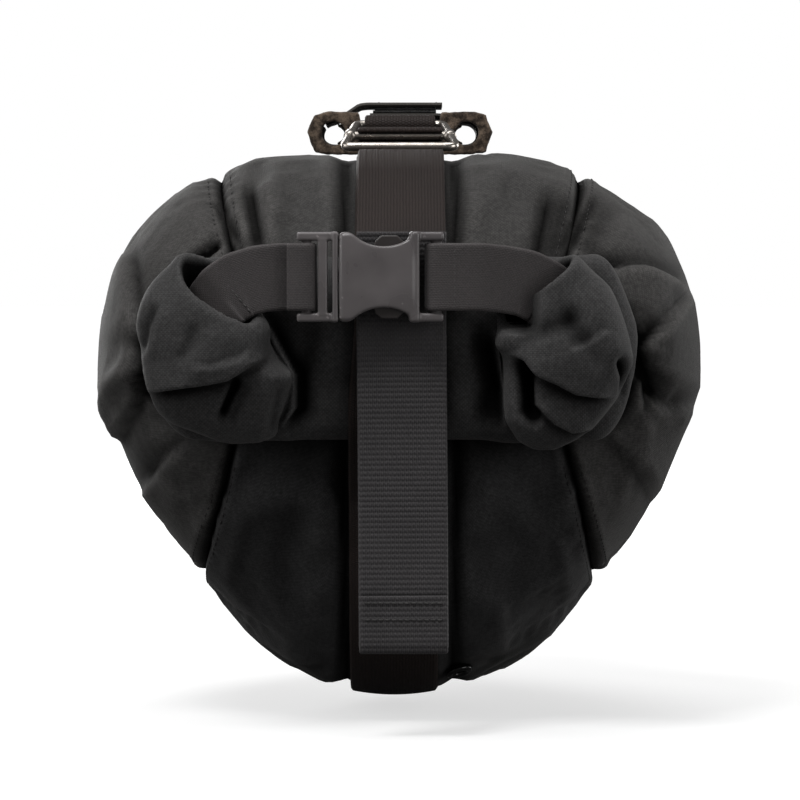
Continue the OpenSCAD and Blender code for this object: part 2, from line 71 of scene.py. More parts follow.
class Graph:
    """A material's node tree, built by nested calls."""

    def __init__(self, name):
        self.material = bpy.data.materials.new(name)
        self.material.use_nodes = True
        self.tree = self.material.node_tree
        self.tree.nodes.clear()
        out = self.tree.nodes.new("ShaderNodeOutputMaterial")
        self.bsdf = self.tree.nodes.new("ShaderNodeBsdfPrincipled")
        self.tree.links.new(self.bsdf.outputs[0], out.inputs[0])

    def put(self, socket, value):
        if isinstance(value, bpy.types.NodeSocket):
            self.tree.links.new(value, socket)
        elif hasattr(socket, "default_value"):
            if isinstance(value, tuple) and len(value) == 3 and len(socket.default_value) == 4:
                value = (*value, 1)
            socket.default_value = value

    def node(self, kind, inputs=(), out=0, **settings):
        n = self.tree.nodes.new("ShaderNode" + kind)
        for k, v in settings.items():
            setattr(n, k, v)
        for k, v in dict(inputs).items():
            self.put(n.inputs[k], v)
        return n.outputs[out]

    def math(self, op, *values):
        return self.node("Math", list(enumerate(values)), operation=op)

    def times(self, product, *others):
        for value in others:
            product = self.math("MULTIPLY", product, value)
        return product

    def scaled(self, vector, by):
        return self.node("VectorMath", {0: vector, "Scale": by}, operation="SCALE")

    def place(self):
        return self.node("TexCoord", out=OBJECT_SPACE)

    def noise(self, at, scale, detail=3.0, rough=0.55):
        return self.node("TexNoise", {"Vector": at, "Scale": scale, "Detail": detail, "Roughness": rough})

    def span(self, value, lo, hi, to_lo, to_hi):
        return self.node("MapRange", {0: value, 1: lo, 2: hi, 3: to_lo, 4: to_hi})

    def vary(self, noise_, to_lo, to_hi):
        """A noise's usual range, spread over another."""
        return self.span(noise_, 0.3, 0.7, to_lo, to_hi)

    def mix(self, factor, a, b):
        n = self.tree.nodes.new("ShaderNodeMix")
        n.data_type = "RGBA"
        self.put(n.inputs[0], factor)
        self.put(n.inputs[6], a)
        self.put(n.inputs[7], b)
        return n.outputs[2]

    def worn(self, color, lo, hi, lighter):
        """The colour, lighter on edges that stand proud."""
        edge = self.span(self.node("NewGeometry", out=POINTINESS), lo, hi, 0.0, 1.0)
        return self.mix(edge, color, tuple(c * lighter for c in color))

    def bump(self, height, depth, strength=1.0, normal=None):
        """A bumped normal, its depth in millimetres."""
        inputs = {"Height": height, "Distance": depth * MM, "Strength": strength}
        if normal is not None:
            inputs["Normal"] = normal
        return self.node("Bump", inputs)

    def painted_occlusion_shade(self, reach=10.0, deepest=0.12):
        """Painted shade: less than 1 in folds and under other pieces, from ambient occlusion."""
        painted_shade_factor = self.node("AmbientOcclusion", {"Distance": reach * MM}, out=1, samples=5)
        return self.span(painted_shade_factor, 0.3, 0.92, deepest, 1.0)

    def finish(self, **inputs):
        for k, v in inputs.items():
            self.put(self.bsdf.inputs[k.replace("_", " ")], v)
        return self.material


def cloth_axes(g):
    """The cloth map's two directions in millimetres, nudged a little so that threads aren't ruled."""
    uv = g.node("UVMap", uv_map="cloth")
    wobble = g.node("TexNoise", {"Vector": uv, "Scale": 0.35, "Detail": 2.0}, out=1)
    split = g.tree.nodes.new("ShaderNodeSeparateXYZ")
    g.put(split.inputs[0], g.node("VectorMath", {0: uv, 1: g.scaled(wobble, 0.5)}, operation="ADD"))
    return split.outputs[0], split.outputs[1]


def fabric(name, color, pitch=0.56, sheen=0.25, worn=1.9):
    """Plain-woven coated nylon: threads over and under, faded patches, worn high spots, painted shade in folds
    and under other pieces, painted highlight on raised plies.
    """
    g = Graph(name)
    across, along = (g.math("SINE", g.times(axis, math.pi / pitch)) for axis in cloth_axes(g))
    product = g.times(across, along)
    thread = g.math("POWER", g.math("ABSOLUTE", product), 0.45)
    over = g.span(product, -0.3, 0.3, 0.0, 1.0)
    place = g.place()
    large = g.noise(place, 22.0, 4.0)
    # the fold attribute carries painted shade (up to 1) and painted highlight (down to -1)
    fold = g.node("Attribute", out=2, attribute_name="fold")
    # painted shade: ambient occlusion and the fold attribute darken the colour, the sheen and the specular
    painted_shade_factor = g.times(g.painted_occlusion_shade(), g.span(fold, 0, 0.9, 1.0, 0.06))
    weave = g.times(g.span(thread, 0, 1, 0.74, 1.08), g.span(over, 0, 1, 0.84, 1.16))
    # the last two factors are painted shade and a painted highlight on raised plies
    shade = g.times(weave, g.vary(large, 0.82, 1.18), g.vary(g.noise(place, 900.0, 2.0), 0.68, 1.32), painted_shade_factor,
                    g.span(fold, -1, 0, 1.45, 1.0))
    fall = g.bump(g.noise(place, 120.0, 3.0), 0.35, 0.6)
    return g.finish(Base_Color=g.scaled(g.worn(color, 0.505, 0.6, worn), shade),
                    Roughness=g.vary(large, 0.71, 0.85), Normal=g.bump(thread, 0.07, 0.9, fall),
                    Sheen_Weight=g.times(painted_shade_factor, sheen), Sheen_Roughness=0.45, Sheen_Tint=(0.75, 0.74, 0.72),
                    Specular_IOR_Level=g.times(painted_shade_factor, 0.33))


def webbing(name, color, across_pitch, along_pitch, rough=0.62, bump=0.16, fleck=0.3, sheen=0.08, gloss=0.35):
    """Woven strap: cords along it bound by picks across it."""
    g = Graph(name)
    across, along = cloth_axes(g)
    cord = g.math("SINE", g.times(across, math.pi / across_pitch))
    pick = g.times(g.math("SINE", g.times(along, 2 * math.pi / along_pitch)), g.math("SIGN", cord))
    height = g.math("ADD", g.times(g.math("POWER", g.math("ABSOLUTE", cord), 0.6), 0.6),
                    g.times(g.span(pick, -1, 1, 0, 1), 0.4))
    place = g.place()
    # the last factor is painted shade from ambient occlusion
    shade = g.times(g.span(height, 0, 1, 1 - fleck, 1 + fleck), g.vary(g.noise(place, 35.0, 3.0), 0.85, 1.15),
                    g.vary(g.noise(place, 1800.0, 2.0), 0.8, 1.2), g.painted_occlusion_shade(5.0, 0.3))
    return g.finish(Base_Color=g.scaled(g.worn(color, 0.52, 0.66, 1.9), shade), Roughness=rough,
                    Normal=g.bump(height, bump, 0.85), Sheen_Weight=sheen, Sheen_Roughness=0.4,
                    Specular_IOR_Level=gloss)


def plastic(name, color, rough=0.4, depth=0.03, wear=1.8):
    """Moulded nylon: fine spark-eroded grain, handled edges a little lighter."""
    g = Graph(name)
    place = g.place()
    large = g.noise(place, 60.0, 3.0)
    return g.finish(Base_Color=g.scaled(g.worn(color, 0.52, 0.62, wear), g.vary(large, 0.85, 1.15)),
                    Roughness=g.vary(large, rough - 0.08, rough + 0.1),
                    Normal=g.bump(g.noise(place, 3500.0, 2.0), depth, 0.7), Specular_IOR_Level=0.5)


def steel(name, color):
    """Bright wire with drawing lines and darker stains."""
    g = Graph(name)
    place = g.place()
    stain = g.noise(place, 260.0, 4.0)
    line = g.noise(g.node("Mapping", {0: place, 3: (60, 900, 900)}), 6.0, 3.0)
    tint = g.mix(g.span(stain, 0.4, 0.65, 0, 1), color, tuple(c * 0.55 for c in color))
    return g.finish(Base_Color=tint, Metallic=1.0, Roughness=g.vary(stain, 0.2, 0.42),
                    Normal=g.bump(line, 0.04, 0.5))


def mottled(name, dark, light, scale, rough, depth):
    """Rough two-tone material: felted pad, pile or hooks, by its colours and scale."""
    g = Graph(name)
    place = g.place()
    blotch = g.noise(place, scale, 5.0, 0.65)
    fine = g.noise(place, scale * 6, 3.0, 0.7)
    tint = g.mix(g.span(blotch, 0.42, 0.6, 0, 1), dark, light)
    return g.finish(Base_Color=g.scaled(tint, g.vary(fine, 0.65, 1.35)), Roughness=rough,
                    Normal=g.bump(g.math("ADD", blotch, g.times(fine, 0.5)), depth, 0.9),
                    Sheen_Weight=0.2, Specular_IOR_Level=0.3)


M = {
    "shell": fabric("shell_fabric", (0.042, 0.040, 0.0385), sheen=0.12),
    "shell_low": fabric("lower_fabric", (0.027, 0.0265, 0.027), sheen=0.08),
    "roll": fabric("roll_fabric", (0.036, 0.035, 0.035), sheen=0.1),
    "lining": fabric("lining_fabric", (0.2, 0.205, 0.21), pitch=0.5, worn=1.1, sheen=0.1),
    "piping": fabric("binding_tape", (0.016, 0.015, 0.015), pitch=0.5, sheen=0.2),
    "webbing": webbing("strap_webbing", (0.040, 0.037, 0.0385), 0.62, 1.6),
    "upper_webbing": webbing("upper_strap_webbing", (0.016, 0.0105, 0.009), 0.95, 0.7, bump=0.22, fleck=0.42,
                             sheen=0.02, gloss=0.25),
    "closure": webbing("closure_webbing", (0.045, 0.040, 0.040), 0.5, 0.9, bump=0.15, fleck=0.4),
    "thread": webbing("sewing_thread", (0.045, 0.043, 0.042), 0.2, 0.5, rough=0.5),
    "buckle": plastic("buckle_plastic", (0.125, 0.114, 0.115), rough=0.3),
    "buckle_arm": plastic("arm_plastic", (0.035, 0.03, 0.029), rough=0.42),
    "sheet": plastic("sheet_plastic", (0.05, 0.05, 0.05), rough=0.6, depth=0.08),
    "hook": mottled("hook_tape", (0.01, 0.01, 0.01), (0.035, 0.035, 0.035), 900.0, 0.6, 0.3),
    "loop": mottled("loop_tape", (0.02, 0.02, 0.02), (0.06, 0.06, 0.058), 700.0, 0.95, 0.5),
    "rubber": mottled("grip_rubber", (0.012, 0.012, 0.012), (0.02, 0.02, 0.02), 500.0, 0.7, 0.1),
    "steel": steel("wire_steel", (0.62, 0.57, 0.52)),
    "wrap": webbing("wrap_webbing", (0.033, 0.029, 0.025), 0.8, 1.2),
    "spacer": mottled("brown_spacer", (0.03, 0.020, 0.013), (0.17, 0.125, 0.09), 300.0, 0.9, 0.7),
    "eyelet": plastic("eyelet_plastic", (0.006, 0.006, 0.006), rough=0.12, depth=0.005, wear=1.3),
}

# ---------------------------------------------------------------- meshes


def unit(v):
    v = np.asarray(v, float)
    return v / np.linalg.norm(v, axis=-1, keepdims=True)


def run(points):
    """How far along a line, or along each column of a grid, each of its points lies."""
    steps = np.linalg.norm(np.diff(points, axis=0), axis=-1)
    return np.concatenate([np.zeros((1, *steps.shape[1:])), np.cumsum(steps, 0)])


def read(items, name, width=1, kind=np.float32):
    """One property of a mesh's points, loops or faces, as an array."""
    values = np.empty(len(items) * width, kind)
    items.foreach_get(name, values)
    return values.reshape(-1, width) if width > 1 else values


def new_object(name, verts, faces):
    """A mesh from points in millimetres, its faces turned outwards."""
    mesh = bpy.data.meshes.new(name)
    points = [tuple(map(float, v)) for v in np.asarray(verts) * MM]
    mesh.from_pydata(points, [], [tuple(map(int, f)) for f in faces])
    obj = bpy.data.objects.new(name, mesh)
    bpy.context.scene.collection.objects.link(obj)
    bm = bmesh.new()
    bm.from_mesh(mesh)
    bmesh.ops.recalc_face_normals(bm, faces=bm.faces)
    bm.to_mesh(mesh)
    bm.free()
    return obj


def finish_mesh(mesh, material, uv=None):
    """Smooth shading, a material, and a cloth map in millimetres from one uv pair per vertex, if given."""
    mesh.materials.clear()
    mesh.materials.append(M[material])
    if uv is None:
        box_map(mesh)
    else:
        layer = mesh.uv_layers.new(name="cloth")
        index = read(mesh.loops, "vertex_index", kind=np.int64)
        layer.data.foreach_set("uv", np.asarray(uv, np.float32)[index].ravel())
    mesh.polygons.foreach_set("use_smooth", [True] * len(mesh.polygons))
    mesh.update()


def build(name, verts, faces, material, uv=None):
    obj = new_object(name, verts, faces)
    finish_mesh(obj.data, material, uv)
    return obj


def box_map(mesh):
    """A cloth map from each face's main direction, in millimetres."""
    main = np.abs(read(mesh.polygons, "normal", 3)).argmax(1)
    main = np.repeat(main, read(mesh.polygons, "loop_total", kind=np.int64))[:, None]
    p = (read(mesh.vertices, "co", 3) / MM)[read(mesh.loops, "vertex_index", kind=np.int64)]
    uv = np.where(main == 0, p[:, [1, 2]], np.where(main == 1, p[:, [0, 2]], p[:, [0, 1]]))
    layer = mesh.uv_layers.get("cloth") or mesh.uv_layers.new(name="cloth")
    layer.data.foreach_set("uv", uv.astype(np.float32).ravel())


def mark_painted_fold_shade(mesh, values):
    """Stores painted shade (up to 1, deep in folds) and painted highlight (down to -1, on raised plies) for
    each point, for the cloth's colour.
    """
    layer = mesh.attributes.new("fold", "FLOAT", "POINT")
    layer.data.foreach_set("value", np.clip(values, -1, 1).astype(np.float32).ravel())


def grid_faces(rows, cols, wrap=False, start=0, ring=False):
    """Quads of a grid of points; wrap joins each row's ends, and ring joins the last row to the first."""
    faces = []
    for i in range(rows if ring else rows - 1):
        row, below = start + i * cols, start + (i + 1) % rows * cols
        for j in range(cols if wrap else cols - 1):
            k = (j + 1) % cols
            faces.append((row + j, row + k, below + k, below + j))
    return faces


def capped(rings, start=0):
    """Points and faces of a tube through rings of points, closed with a fan at either end."""
    rows, cols = rings.shape[:2]
    faces = grid_faces(rows, cols, wrap=True, start=start)
    for tip, end in ((0, 0), (1, rows - 1)):
        row, tip = start + end * cols, start + rows * cols + tip
        faces += [(row + j, row + (j + 1) % cols, tip) for j in range(cols)]
    return [*rings.reshape(-1, 3), rings[0].mean(0), rings[-1].mean(0)], faces


def solid_sheet(name, outer, inner, material, uv):
    """A closed sheet between two grids of points, rows x cols x 3."""
    rows, cols = outer.shape[:2]
    half = rows * cols
    faces = grid_faces(rows, cols) + [f[::-1] for f in grid_faces(rows, cols, start=half)]
    rim = [i * cols for i in range(rows)] + [(rows - 1) * cols + j for j in range(1, cols)]
    rim += [i * cols + cols - 1 for i in range(rows - 2, -1, -1)] + list(range(cols - 2, 0, -1))
    for a, b in zip(rim, rim[1:] + rim[:1]):
        faces.append((a, b, b + half, a + half))
    verts = np.concatenate([outer.reshape(-1, 3), inner.reshape(-1, 3)])
    uv = uv.reshape(-1, 2)
    return build(name, verts, faces, material, np.concatenate([uv, uv + 0.37]))


def loft(name, rings, material):
    return build(name, *capped(np.asarray(rings, float)), material)


def resample(points, step):
    """Points every step or so along a line, and how far along it each lies."""
    p = np.asarray(points, float)
    d = run(p)
    s = np.linspace(0, d[-1], max(2, int(round(d[-1] / step))) + 1)
    return np.stack([np.interp(s, d, p[:, k]) for k in range(3)], 1), s


def smooth_path(p, times=2):
    p = p.copy()
    for _ in range(times):
        p[1:-1] = 0.25 * p[:-2] + 0.5 * p[1:-1] + 0.25 * p[2:]
    return p


ROUNDED = 0.7  # how far in from a strap's edge it is rounded


def strap(name, points, side, width, thick, material, step=1.0, across=16, rib=None, ease=3, cup=None):
    """A closed strip of webbing along a path, with rounded edges and real ribs; cup curls its edges."""
    p, s = resample(points, step)
    p = smooth_path(p, ease)
    curl = np.zeros(len(p)) if cup is None else cup(p)
    t = unit(np.gradient(p, axis=0))
    side = np.broadcast_to(np.asarray(side, float), p.shape)
    side = unit(side - (side * t).sum(1)[:, None] * t)
    normal = np.cross(t, side)
    q = np.linspace(-1, 1, across + 1)
    x = np.sign(q) * (1 - (1 - np.abs(q)) ** 1.35) * width / 2
    inset = np.clip((np.abs(x) - (width / 2 - ROUNDED)) / ROUNDED, 0, 1)
    half = thick / 2 * np.sqrt(np.clip(1 - inset ** 2, 0.02, 1))
    lift = 0 if rib is None else rib(s[:, None], x[None, :]) * (1 - inset ** 2)
    middle = p[:, None] + side[:, None] * x[None, :, None]
    middle = middle + normal[:, None] * (curl[:, None] * (x / x[-1]) ** 2)[..., None]
    stand = normal[:, None] * (half + lift)[..., None]
    rings = np.concatenate([middle + stand, (middle - stand)[:, ::-1]], 1)
    rows, cols = rings.shape[:2]
    faces = grid_faces(rows, cols, wrap=True)
    for end in (0, (rows - 1) * cols):
        faces += [(end + j, end + j + 1, end + cols - 2 - j, end + cols - 1 - j) for j in range(across)]
    uv = np.stack(np.broadcast_arrays(np.concatenate([x, x[::-1]])[None, :], s[:, None]), -1)
    return build(name, rings.reshape(-1, 3), faces, material, uv.reshape(-1, 2))


def tube(name, points, radius, material, closed=False, around=14, step=0.6):
    """A round bar along a path: a closed ring, or a bar with rounded ends."""
    p, _ = resample([*points, points[0]] if closed else points, step)
    if closed:
        p = p[:-1]
        for _ in range(3):
            p = 0.25 * np.roll(p, 1, 0) + 0.5 * p + 0.25 * np.roll(p, -1, 0)
        t = unit(np.roll(p, -1, 0) - np.roll(p, 1, 0))
    else:
        p = smooth_path(p, 3)
        t = unit(np.gradient(p, axis=0))
    u = unit(np.cross(t, (0.31, -0.22, 0.92)))
    v = np.cross(t, u)
    a = np.linspace(0, 2 * np.pi, around, endpoint=False)[None, :, None]
    rings = p[:, None] + radius * (u[:, None] * np.cos(a) + v[:, None] * np.sin(a))
    if closed:
        faces = grid_faces(len(rings), around, wrap=True, ring=True)
        return build(name, rings.reshape(-1, 3), faces, material)
    tips = [p[k] + (rings[k] - p[k]) * 0.7 + out * t[k] * radius * 0.3 for k, out in ((0, -1), (-1, 1))]
    return loft(name, np.concatenate([tips[:1], rings, tips[1:]]), material)


# a stitch's rings: place along it, size, and height in thread widths
SPINDLE = ((-0.5, 0.25, -0.3), (-0.3, 0.85, 0.05), (0, 1, 0.18), (0.3, 0.85, 0.05), (0.5, 0.25, -0.3))


def stitches(name, lines, pitch=2.4, length=1.7, radius=0.24, material="thread"):
    """Rows of thread: a line is (points, normal or normals), and a stitch a spindle that dips at both ends."""
    verts, faces = [], []
    for points, normals in lines:
        p, _ = resample(points, pitch)
        normals = np.atleast_2d(normals)
        at, known = np.linspace(0, 1, len(p)), np.linspace(0, 1, len(normals))
        n = unit(np.stack([np.interp(at, known, normals[:, k]) for k in range(3)], 1))
        for i, up in enumerate(n[:-1]):
            step = p[i + 1] - p[i]
            size = np.linalg.norm(step)
            d = step / size
            w = np.cross(d, up)
            base = len(verts)
            for f, r, h in SPINDLE:
                c = p[i] + d * size * 0.5 + d * f * length + up * h * radius * 2
                for k in range(6):
                    a = k * math.pi / 3
                    verts.append(c + (w * math.cos(a) + up * math.sin(a)) * radius * r)
            faces += grid_faces(len(SPINDLE), 6, wrap=True, start=base)
            faces.append(tuple(base + k for k in range(5, -1, -1)))
            faces.append(tuple(base + 24 + k for k in range(6)))
    return build(name, verts, faces, material)


def give(obj, body, *nodes, slot=None):
    """Rides on a body and stands for CAD nodes."""
    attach(obj, body)
    if nodes:
        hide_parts(*nodes)
    return obj


# ---------------------------------------------------------------- the bag's surface, as the CAD makes it

NOSE_Y, MOUTH_Y, WAIST_Y, BELLY_Y = -23.0, -228.0, -165.0, -130.0
HALF_W, NOSE_W, MOUTH_W = 92.0, 33.0, 68.0
TOP, BOTTOM, WAIST_Z = 112.0, -58.0, 40.0
NOSE_TOP, NOSE_BOTTOM, MOUTH_H = 92.0, -36.0, 3.5
ROLL_Z, ROLL_HALF_H, ROLL_HALF_T = 53.0, 27.5, 9.0
TAPER, LEAN = 0.33, math.tan(math.radians(16.5))
SEAM_TOP, SEAM_LOW = 56.0, -36.0
CLOTH_T = 1.6


def ease(v):
    c = np.clip(v, 0, 1)
    return c * c * (3 - 2 * c)


def dome(y, start, n):
    return np.maximum(0, 1 - np.clip((y - start) / (MOUTH_Y - start), 0, 1) ** n) ** (1 / n)


def squarish(ca, sa, n):
    """Radius of a superellipse of power n and half-size 1, towards (cos, sin)."""
    return (np.abs(ca) ** n + np.abs(sa) ** n) ** (-1 / n)


def section(y, a):
    """Points of the skin at station y and angle a (0 to the right, 90 up), leaning as the nose does."""
    ca, sa = np.cos(np.radians(a)), np.sin(np.radians(a))
    front = ease((NOSE_Y - y) / (NOSE_Y - WAIST_Y))
    waist = dome(y, WAIST_Y, 2.4)
    wide = np.where(y > WAIST_Y, NOSE_W + (HALF_W - NOSE_W) * front, MOUTH_W + (HALF_W - MOUTH_W) * waist)
    top = np.where(y > WAIST_Y, NOSE_TOP + (TOP - NOSE_TOP) * front,
                   ROLL_Z + MOUTH_H + (TOP - ROLL_Z - MOUTH_H) * dome(y, WAIST_Y, 2))
    belly = ease((NOSE_Y - y) / (NOSE_Y - BELLY_Y))
    low = np.where(y > BELLY_Y, NOSE_BOTTOM + (BOTTOM - NOSE_BOTTOM) * belly,
                   ROLL_Z - MOUTH_H + (BOTTOM - ROLL_Z + MOUTH_H) * dome(y, BELLY_Y, 3.2))
    mid = np.where(y > WAIST_Y, WAIST_Z, ROLL_Z + (WAIST_Z - ROLL_Z) * waist)
    r = squarish(ca, sa, np.where(sa >= 0, 3.0, 2.3))
    z = mid + np.where(sa >= 0, top - mid, mid - low) * r * sa
    taper = np.where(sa >= 0, 1, 1 + TAPER * r * sa)
    return np.stack([wide * r * ca * taper, y - LEAN * (1 - front) * z, z], -1)


def skin(u, a):
    u, a = np.broadcast_arrays(np.asarray(u, float), np.asarray(a, float))
    return section(NOSE_Y + (MOUTH_Y - NOSE_Y) * np.sin(np.pi / 2 * u), a)


def skin_normal(u, a):
    u, a = np.broadcast_arrays(np.asarray(u, float), np.asarray(a, float))
    lo, hi = np.maximum(0, u - 0.004), np.minimum(0.999, u + 0.004)
    return unit(np.cross(skin(u, a + 1) - skin(u, a - 1), skin(hi, a) - skin(lo, a)))


def bag(u, a, out=0.0):
    return skin(u, a) + out * skin_normal(u, a)


# ---------------------------------------------------------------- creases drawn on the rear, as [x, z] lines


def line_field(x, z, line):
    """Signed distance to a line of [x, z] points, and how far along it the nearest point is (0 to 1)."""
    line = np.asarray(line, float)
    best = np.full(x.shape, 1e9)
    sign, along = np.ones(x.shape), np.zeros(x.shape)
    lengths = np.linalg.norm(np.diff(line, axis=0), axis=1)
    total, done = lengths.sum(), 0.0
    for a, b, size in zip(line[:-1], line[1:], lengths):
        d = (b - a) / size
        t = np.clip((x - a[0]) * d[0] + (z - a[1]) * d[1], 0, size)
        px, pz = x - a[0] - t * d[0], z - a[1] - t * d[1]
        dist = np.hypot(px, pz)
        closer = dist < best
        best = np.where(closer, dist, best)
        sign = np.where(closer, np.sign(px * -d[1] + pz * d[0] + 1e-9), sign)
        along = np.where(closer, (done + t) / total, along)
        done += size
    return best * sign, along


def faded(along, length=0.25):
    """1 in the middle of a line, falling to 0 over a share of its length at either end."""
    return ease(along / length) * ease((1 - along) / length)


def crease(x, z, line, depth, width, lip):
    """A valley along the line with a raised lip on its left side (as the line runs)."""
    s, along = line_field(x, z, line)
    valley = -np.exp(-(s / width) ** 2)
    ridge = lip * np.exp(-((s - 2.3 * width) / (1.5 * width)) ** 2)
    return depth * (valley + ridge) * faded(along)


def ledge(x, z, line, height, reach, sharp=0.6):
    """One ply lying over another: raised on the line's left side, undercut on its right."""
    s, along = line_field(x, z, line)
    step = 0.5 * (1 + np.tanh(s / sharp))
    over = step * np.exp(-np.maximum(s, 0) / reach)
    below = (1 - step) * np.exp(-np.maximum(-s, 0) / 2.6)
    return height * (over - 1.1 * below) * faded(along, 0.2)


# ---------------------------------------------------------------- the body's puff, by cloth simulation

SIM_ROWS, SIM_COLS, SIM_FRAMES = 54, 96, 20
STRAP_HALF = 14.5  # the compression strap holds the cloth this far either side of the middle
FURTHEST, DEEPEST_PUFF = 6.0, 0.9  # how far the cloth may move at all, and inwards


def arc_angles(n, u=0.75):
    """Angles round the body, how far round its skin each lies, and n angles even along the skin."""
    fine = np.linspace(-180, 180, 1441)
    arc = run(skin(u, fine))
    return fine, arc, np.interp(np.linspace(0, arc[-1], n + 1), arc, fine)[:-1]


FINE_A, FINE_ARC, SIM_A = arc_angles(SIM_COLS)


def nearest_seam(a):
    """Smallest angle to one of the four long seams, in degrees."""
    a = np.asarray(a, float)
    gaps = [np.abs((a - s + 180) % 360 - 180) for s in (SEAM_LOW, SEAM_TOP, 180 - SEAM_TOP, 180 - SEAM_LOW)]
    return np.minimum.reduce(gaps)


def simulate_body():
    """Inflates the sewn body with Blender's Cloth, held at its seams and ends; returns each point's move."""
    u = np.linspace(0, 1, SIM_ROWS)
    rest = bag(u[:, None], SIM_A[None, :])
    last = (SIM_ROWS - 1) * SIM_COLS
    faces = grid_faces(SIM_ROWS, SIM_COLS, wrap=True)
    faces += [tuple(range(SIM_COLS - 1, -1, -1)), tuple(last + j for j in range(SIM_COLS))]
    obj = new_object("body_sim", rest.reshape(-1, 3), faces)
    pin = obj.vertex_groups.new(name="pin")
    seam = nearest_seam(SIM_A)
    for i in range(SIM_ROWS):
        for j in range(SIM_COLS):
            w = 1.0 if i < 2 or i > SIM_ROWS - 3 else 0.0
            w = max(w, 0.75 if seam[j] < 2.0 else 0.0, 0.9 if abs(rest[i, j, 0]) < STRAP_HALF else 0.0)
            if w:
                pin.add([i * SIM_COLS + j], w, "REPLACE")
    mod = obj.modifiers.new("cloth", "CLOTH")
    mod.collision_settings.use_collision = False
    mod.collision_settings.use_self_collision = False
    s = mod.settings
    s.quality = 6
    s.mass = 0.15
    s.tension_stiffness, s.compression_stiffness, s.shear_stiffness, s.bending_stiffness = 20, 10, 6, 0.3
    s.tension_damping = s.compression_damping = s.shear_damping = 8
    s.vertex_group_mass = "pin"
    s.pin_stiffness = 1.0
    s.shrink_min = -0.03
    s.use_pressure = True
    s.uniform_pressure_force = 4.0
    s.effector_weights.gravity = 0.0
    for f in range(1, SIM_FRAMES + 1):
        bpy.context.scene.frame_set(f)
    done = obj.evaluated_get(bpy.context.evaluated_depsgraph_get())
    moved = read(done.data.vertices, "co", 3).reshape(rest.shape) / MM - rest
    bpy.context.scene.frame_set(1)
    bpy.data.objects.remove(obj)
    size = np.linalg.norm(moved, axis=-1)
    moved = moved * (np.minimum(size, FURTHEST) / np.maximum(size, 1e-6))[..., None]
    normal = skin_normal(u[:, None], SIM_A[None, :])
    out = (moved * normal).sum(-1)
    return moved + (np.maximum(out, -DEEPEST_PUFF) - out)[..., None] * normal


PUFF = simulate_body()


def puff(u, a):
    """The simulated movement at any place on the body."""
    u, a = np.broadcast_arrays(u, a)
    r = np.clip(u * (SIM_ROWS - 1), 0, SIM_ROWS - 1.001)
    arc = np.interp((a + 180) % 360 - 180, FINE_A, FINE_ARC) / FINE_ARC[-1] * SIM_COLS
    i, j = np.floor(r).astype(int), np.floor(arc).astype(int)
    fi, fj = (r - i)[..., None], (arc - j)[..., None]
    fi, fj = fi * fi * (3 - 2 * fi), fj * fj * (3 - 2 * fj)
    j0, j1 = j % SIM_COLS, (j + 1) % SIM_COLS
    return (PUFF[i, j0] * (1 - fi) * (1 - fj) + PUFF[i + 1, j0] * fi * (1 - fj)
            + PUFF[i, j1] * (1 - fi) * fj + PUFF[i + 1, j1] * fi * fj)


def wrinkle_noise(p, size, stretch=(1, 1, 1), seed=0.0):
    """Smooth noise from -1 to 1 at points in millimetres."""
    flat = p.reshape(-1, 3) / size * np.asarray(stretch)
    out = np.array([noise.noise(Vector((float(v[0]) + seed, float(v[1]), float(v[2]) - seed))) for v in flat])
    return out.reshape(p.shape[:-1])


# rear creases of the body: line, depth, width, lip
BODY_CREASES = [
    ([(-64, 79), (-73, 68), (-78.5, 54), (-76.5, 41), (-66, 31), (-54, 27)], 3.4, 2.4, 0.35),
    ([(52, 82), (63, 69), (71, 56), (71.5, 44), (66, 33), (55, 24)], 3.4, 2.4, -0.35),
    ([(-47, 105), (-44.5, 92), (-42, 79)], 2.4, 2.3, 0.8),
    ([(-58, 99), (-53, 92), (-48, 84)], 1.6, 1.3, 0.4),
    ([(-54, 86), (-59, 81.5), (-65, 78)], 3.2, 1.6, 0.5),
    ([(-92, 25), (-86, 42), (-77, 56)], -1.8, 3.0, 0.0),
    ([(-92, 24), (-80, 17), (-68, 12)], 1.6, 4.0, 0.5),
    ([(46, 103), (43, 90), (40, 77)], 1.9, 2.4, -0.8),
    ([(62, 101), (56, 92), (51, 82)], 1.6, 2.2, -0.6),
    ([(31, 24), (43, 6), (58, 22)], 1.6, 3.6, -0.9),
    ([(-40, 24), (-52, 10), (-57, 26)], 1.2, 4.0, 0.8),
    ([(-45, -38), (-34, -46), (-22, -48)], 1.5, 2.0, 0.8),
    ([(46, -36), (34, -44), (24, -47)], 1.5, 2.0, -0.8),
    ([(-28, 8), (-36, -12), (-30, -34)], 1.4, 4.5, 0.8),
    ([(27, 10), (38, -10), (33, -32)], 1.3, 4.5, -0.8),
]
# plies of the sides that lie over each other where the roll pulls them in: line, height, reach
BODY_LEDGES = [
    ([(-77, 54), (-81, 68), (-84, 85)], 2.6, 9.0),
    ([(-93, 4), (-86, 22), (-79, 38), (-76, 52)], 2.6, 9.0),
    ([(-60, 28), (-70, 20), (-84, 2), (-88, -14)], 2.0, 8.0),
    ([(91, 71), (75, 77), (62, 77), (53, 80)], 2.6, 8.0),
    ([(90, 72), (80, 60), (70, 50)], 2.5, 8.0),
    ([(74, 30), (73.5, 43), (68, 53)], 2.4, 5.0),
    ([(90, 36), (80, 34), (74, 40)], 2.0, 7.0),
    ([(62, 28), (74, 14), (82, -4)], 1.9, 8.0),
    ([(-44, 84), (-52, 78), (-62, 77)], 1.8, 6.0),
]


LINER_GAP = 1.9  # how far in the cloth may go before it meets the liner
EYELET_AT = (0.6, -73.0)  # row and angle


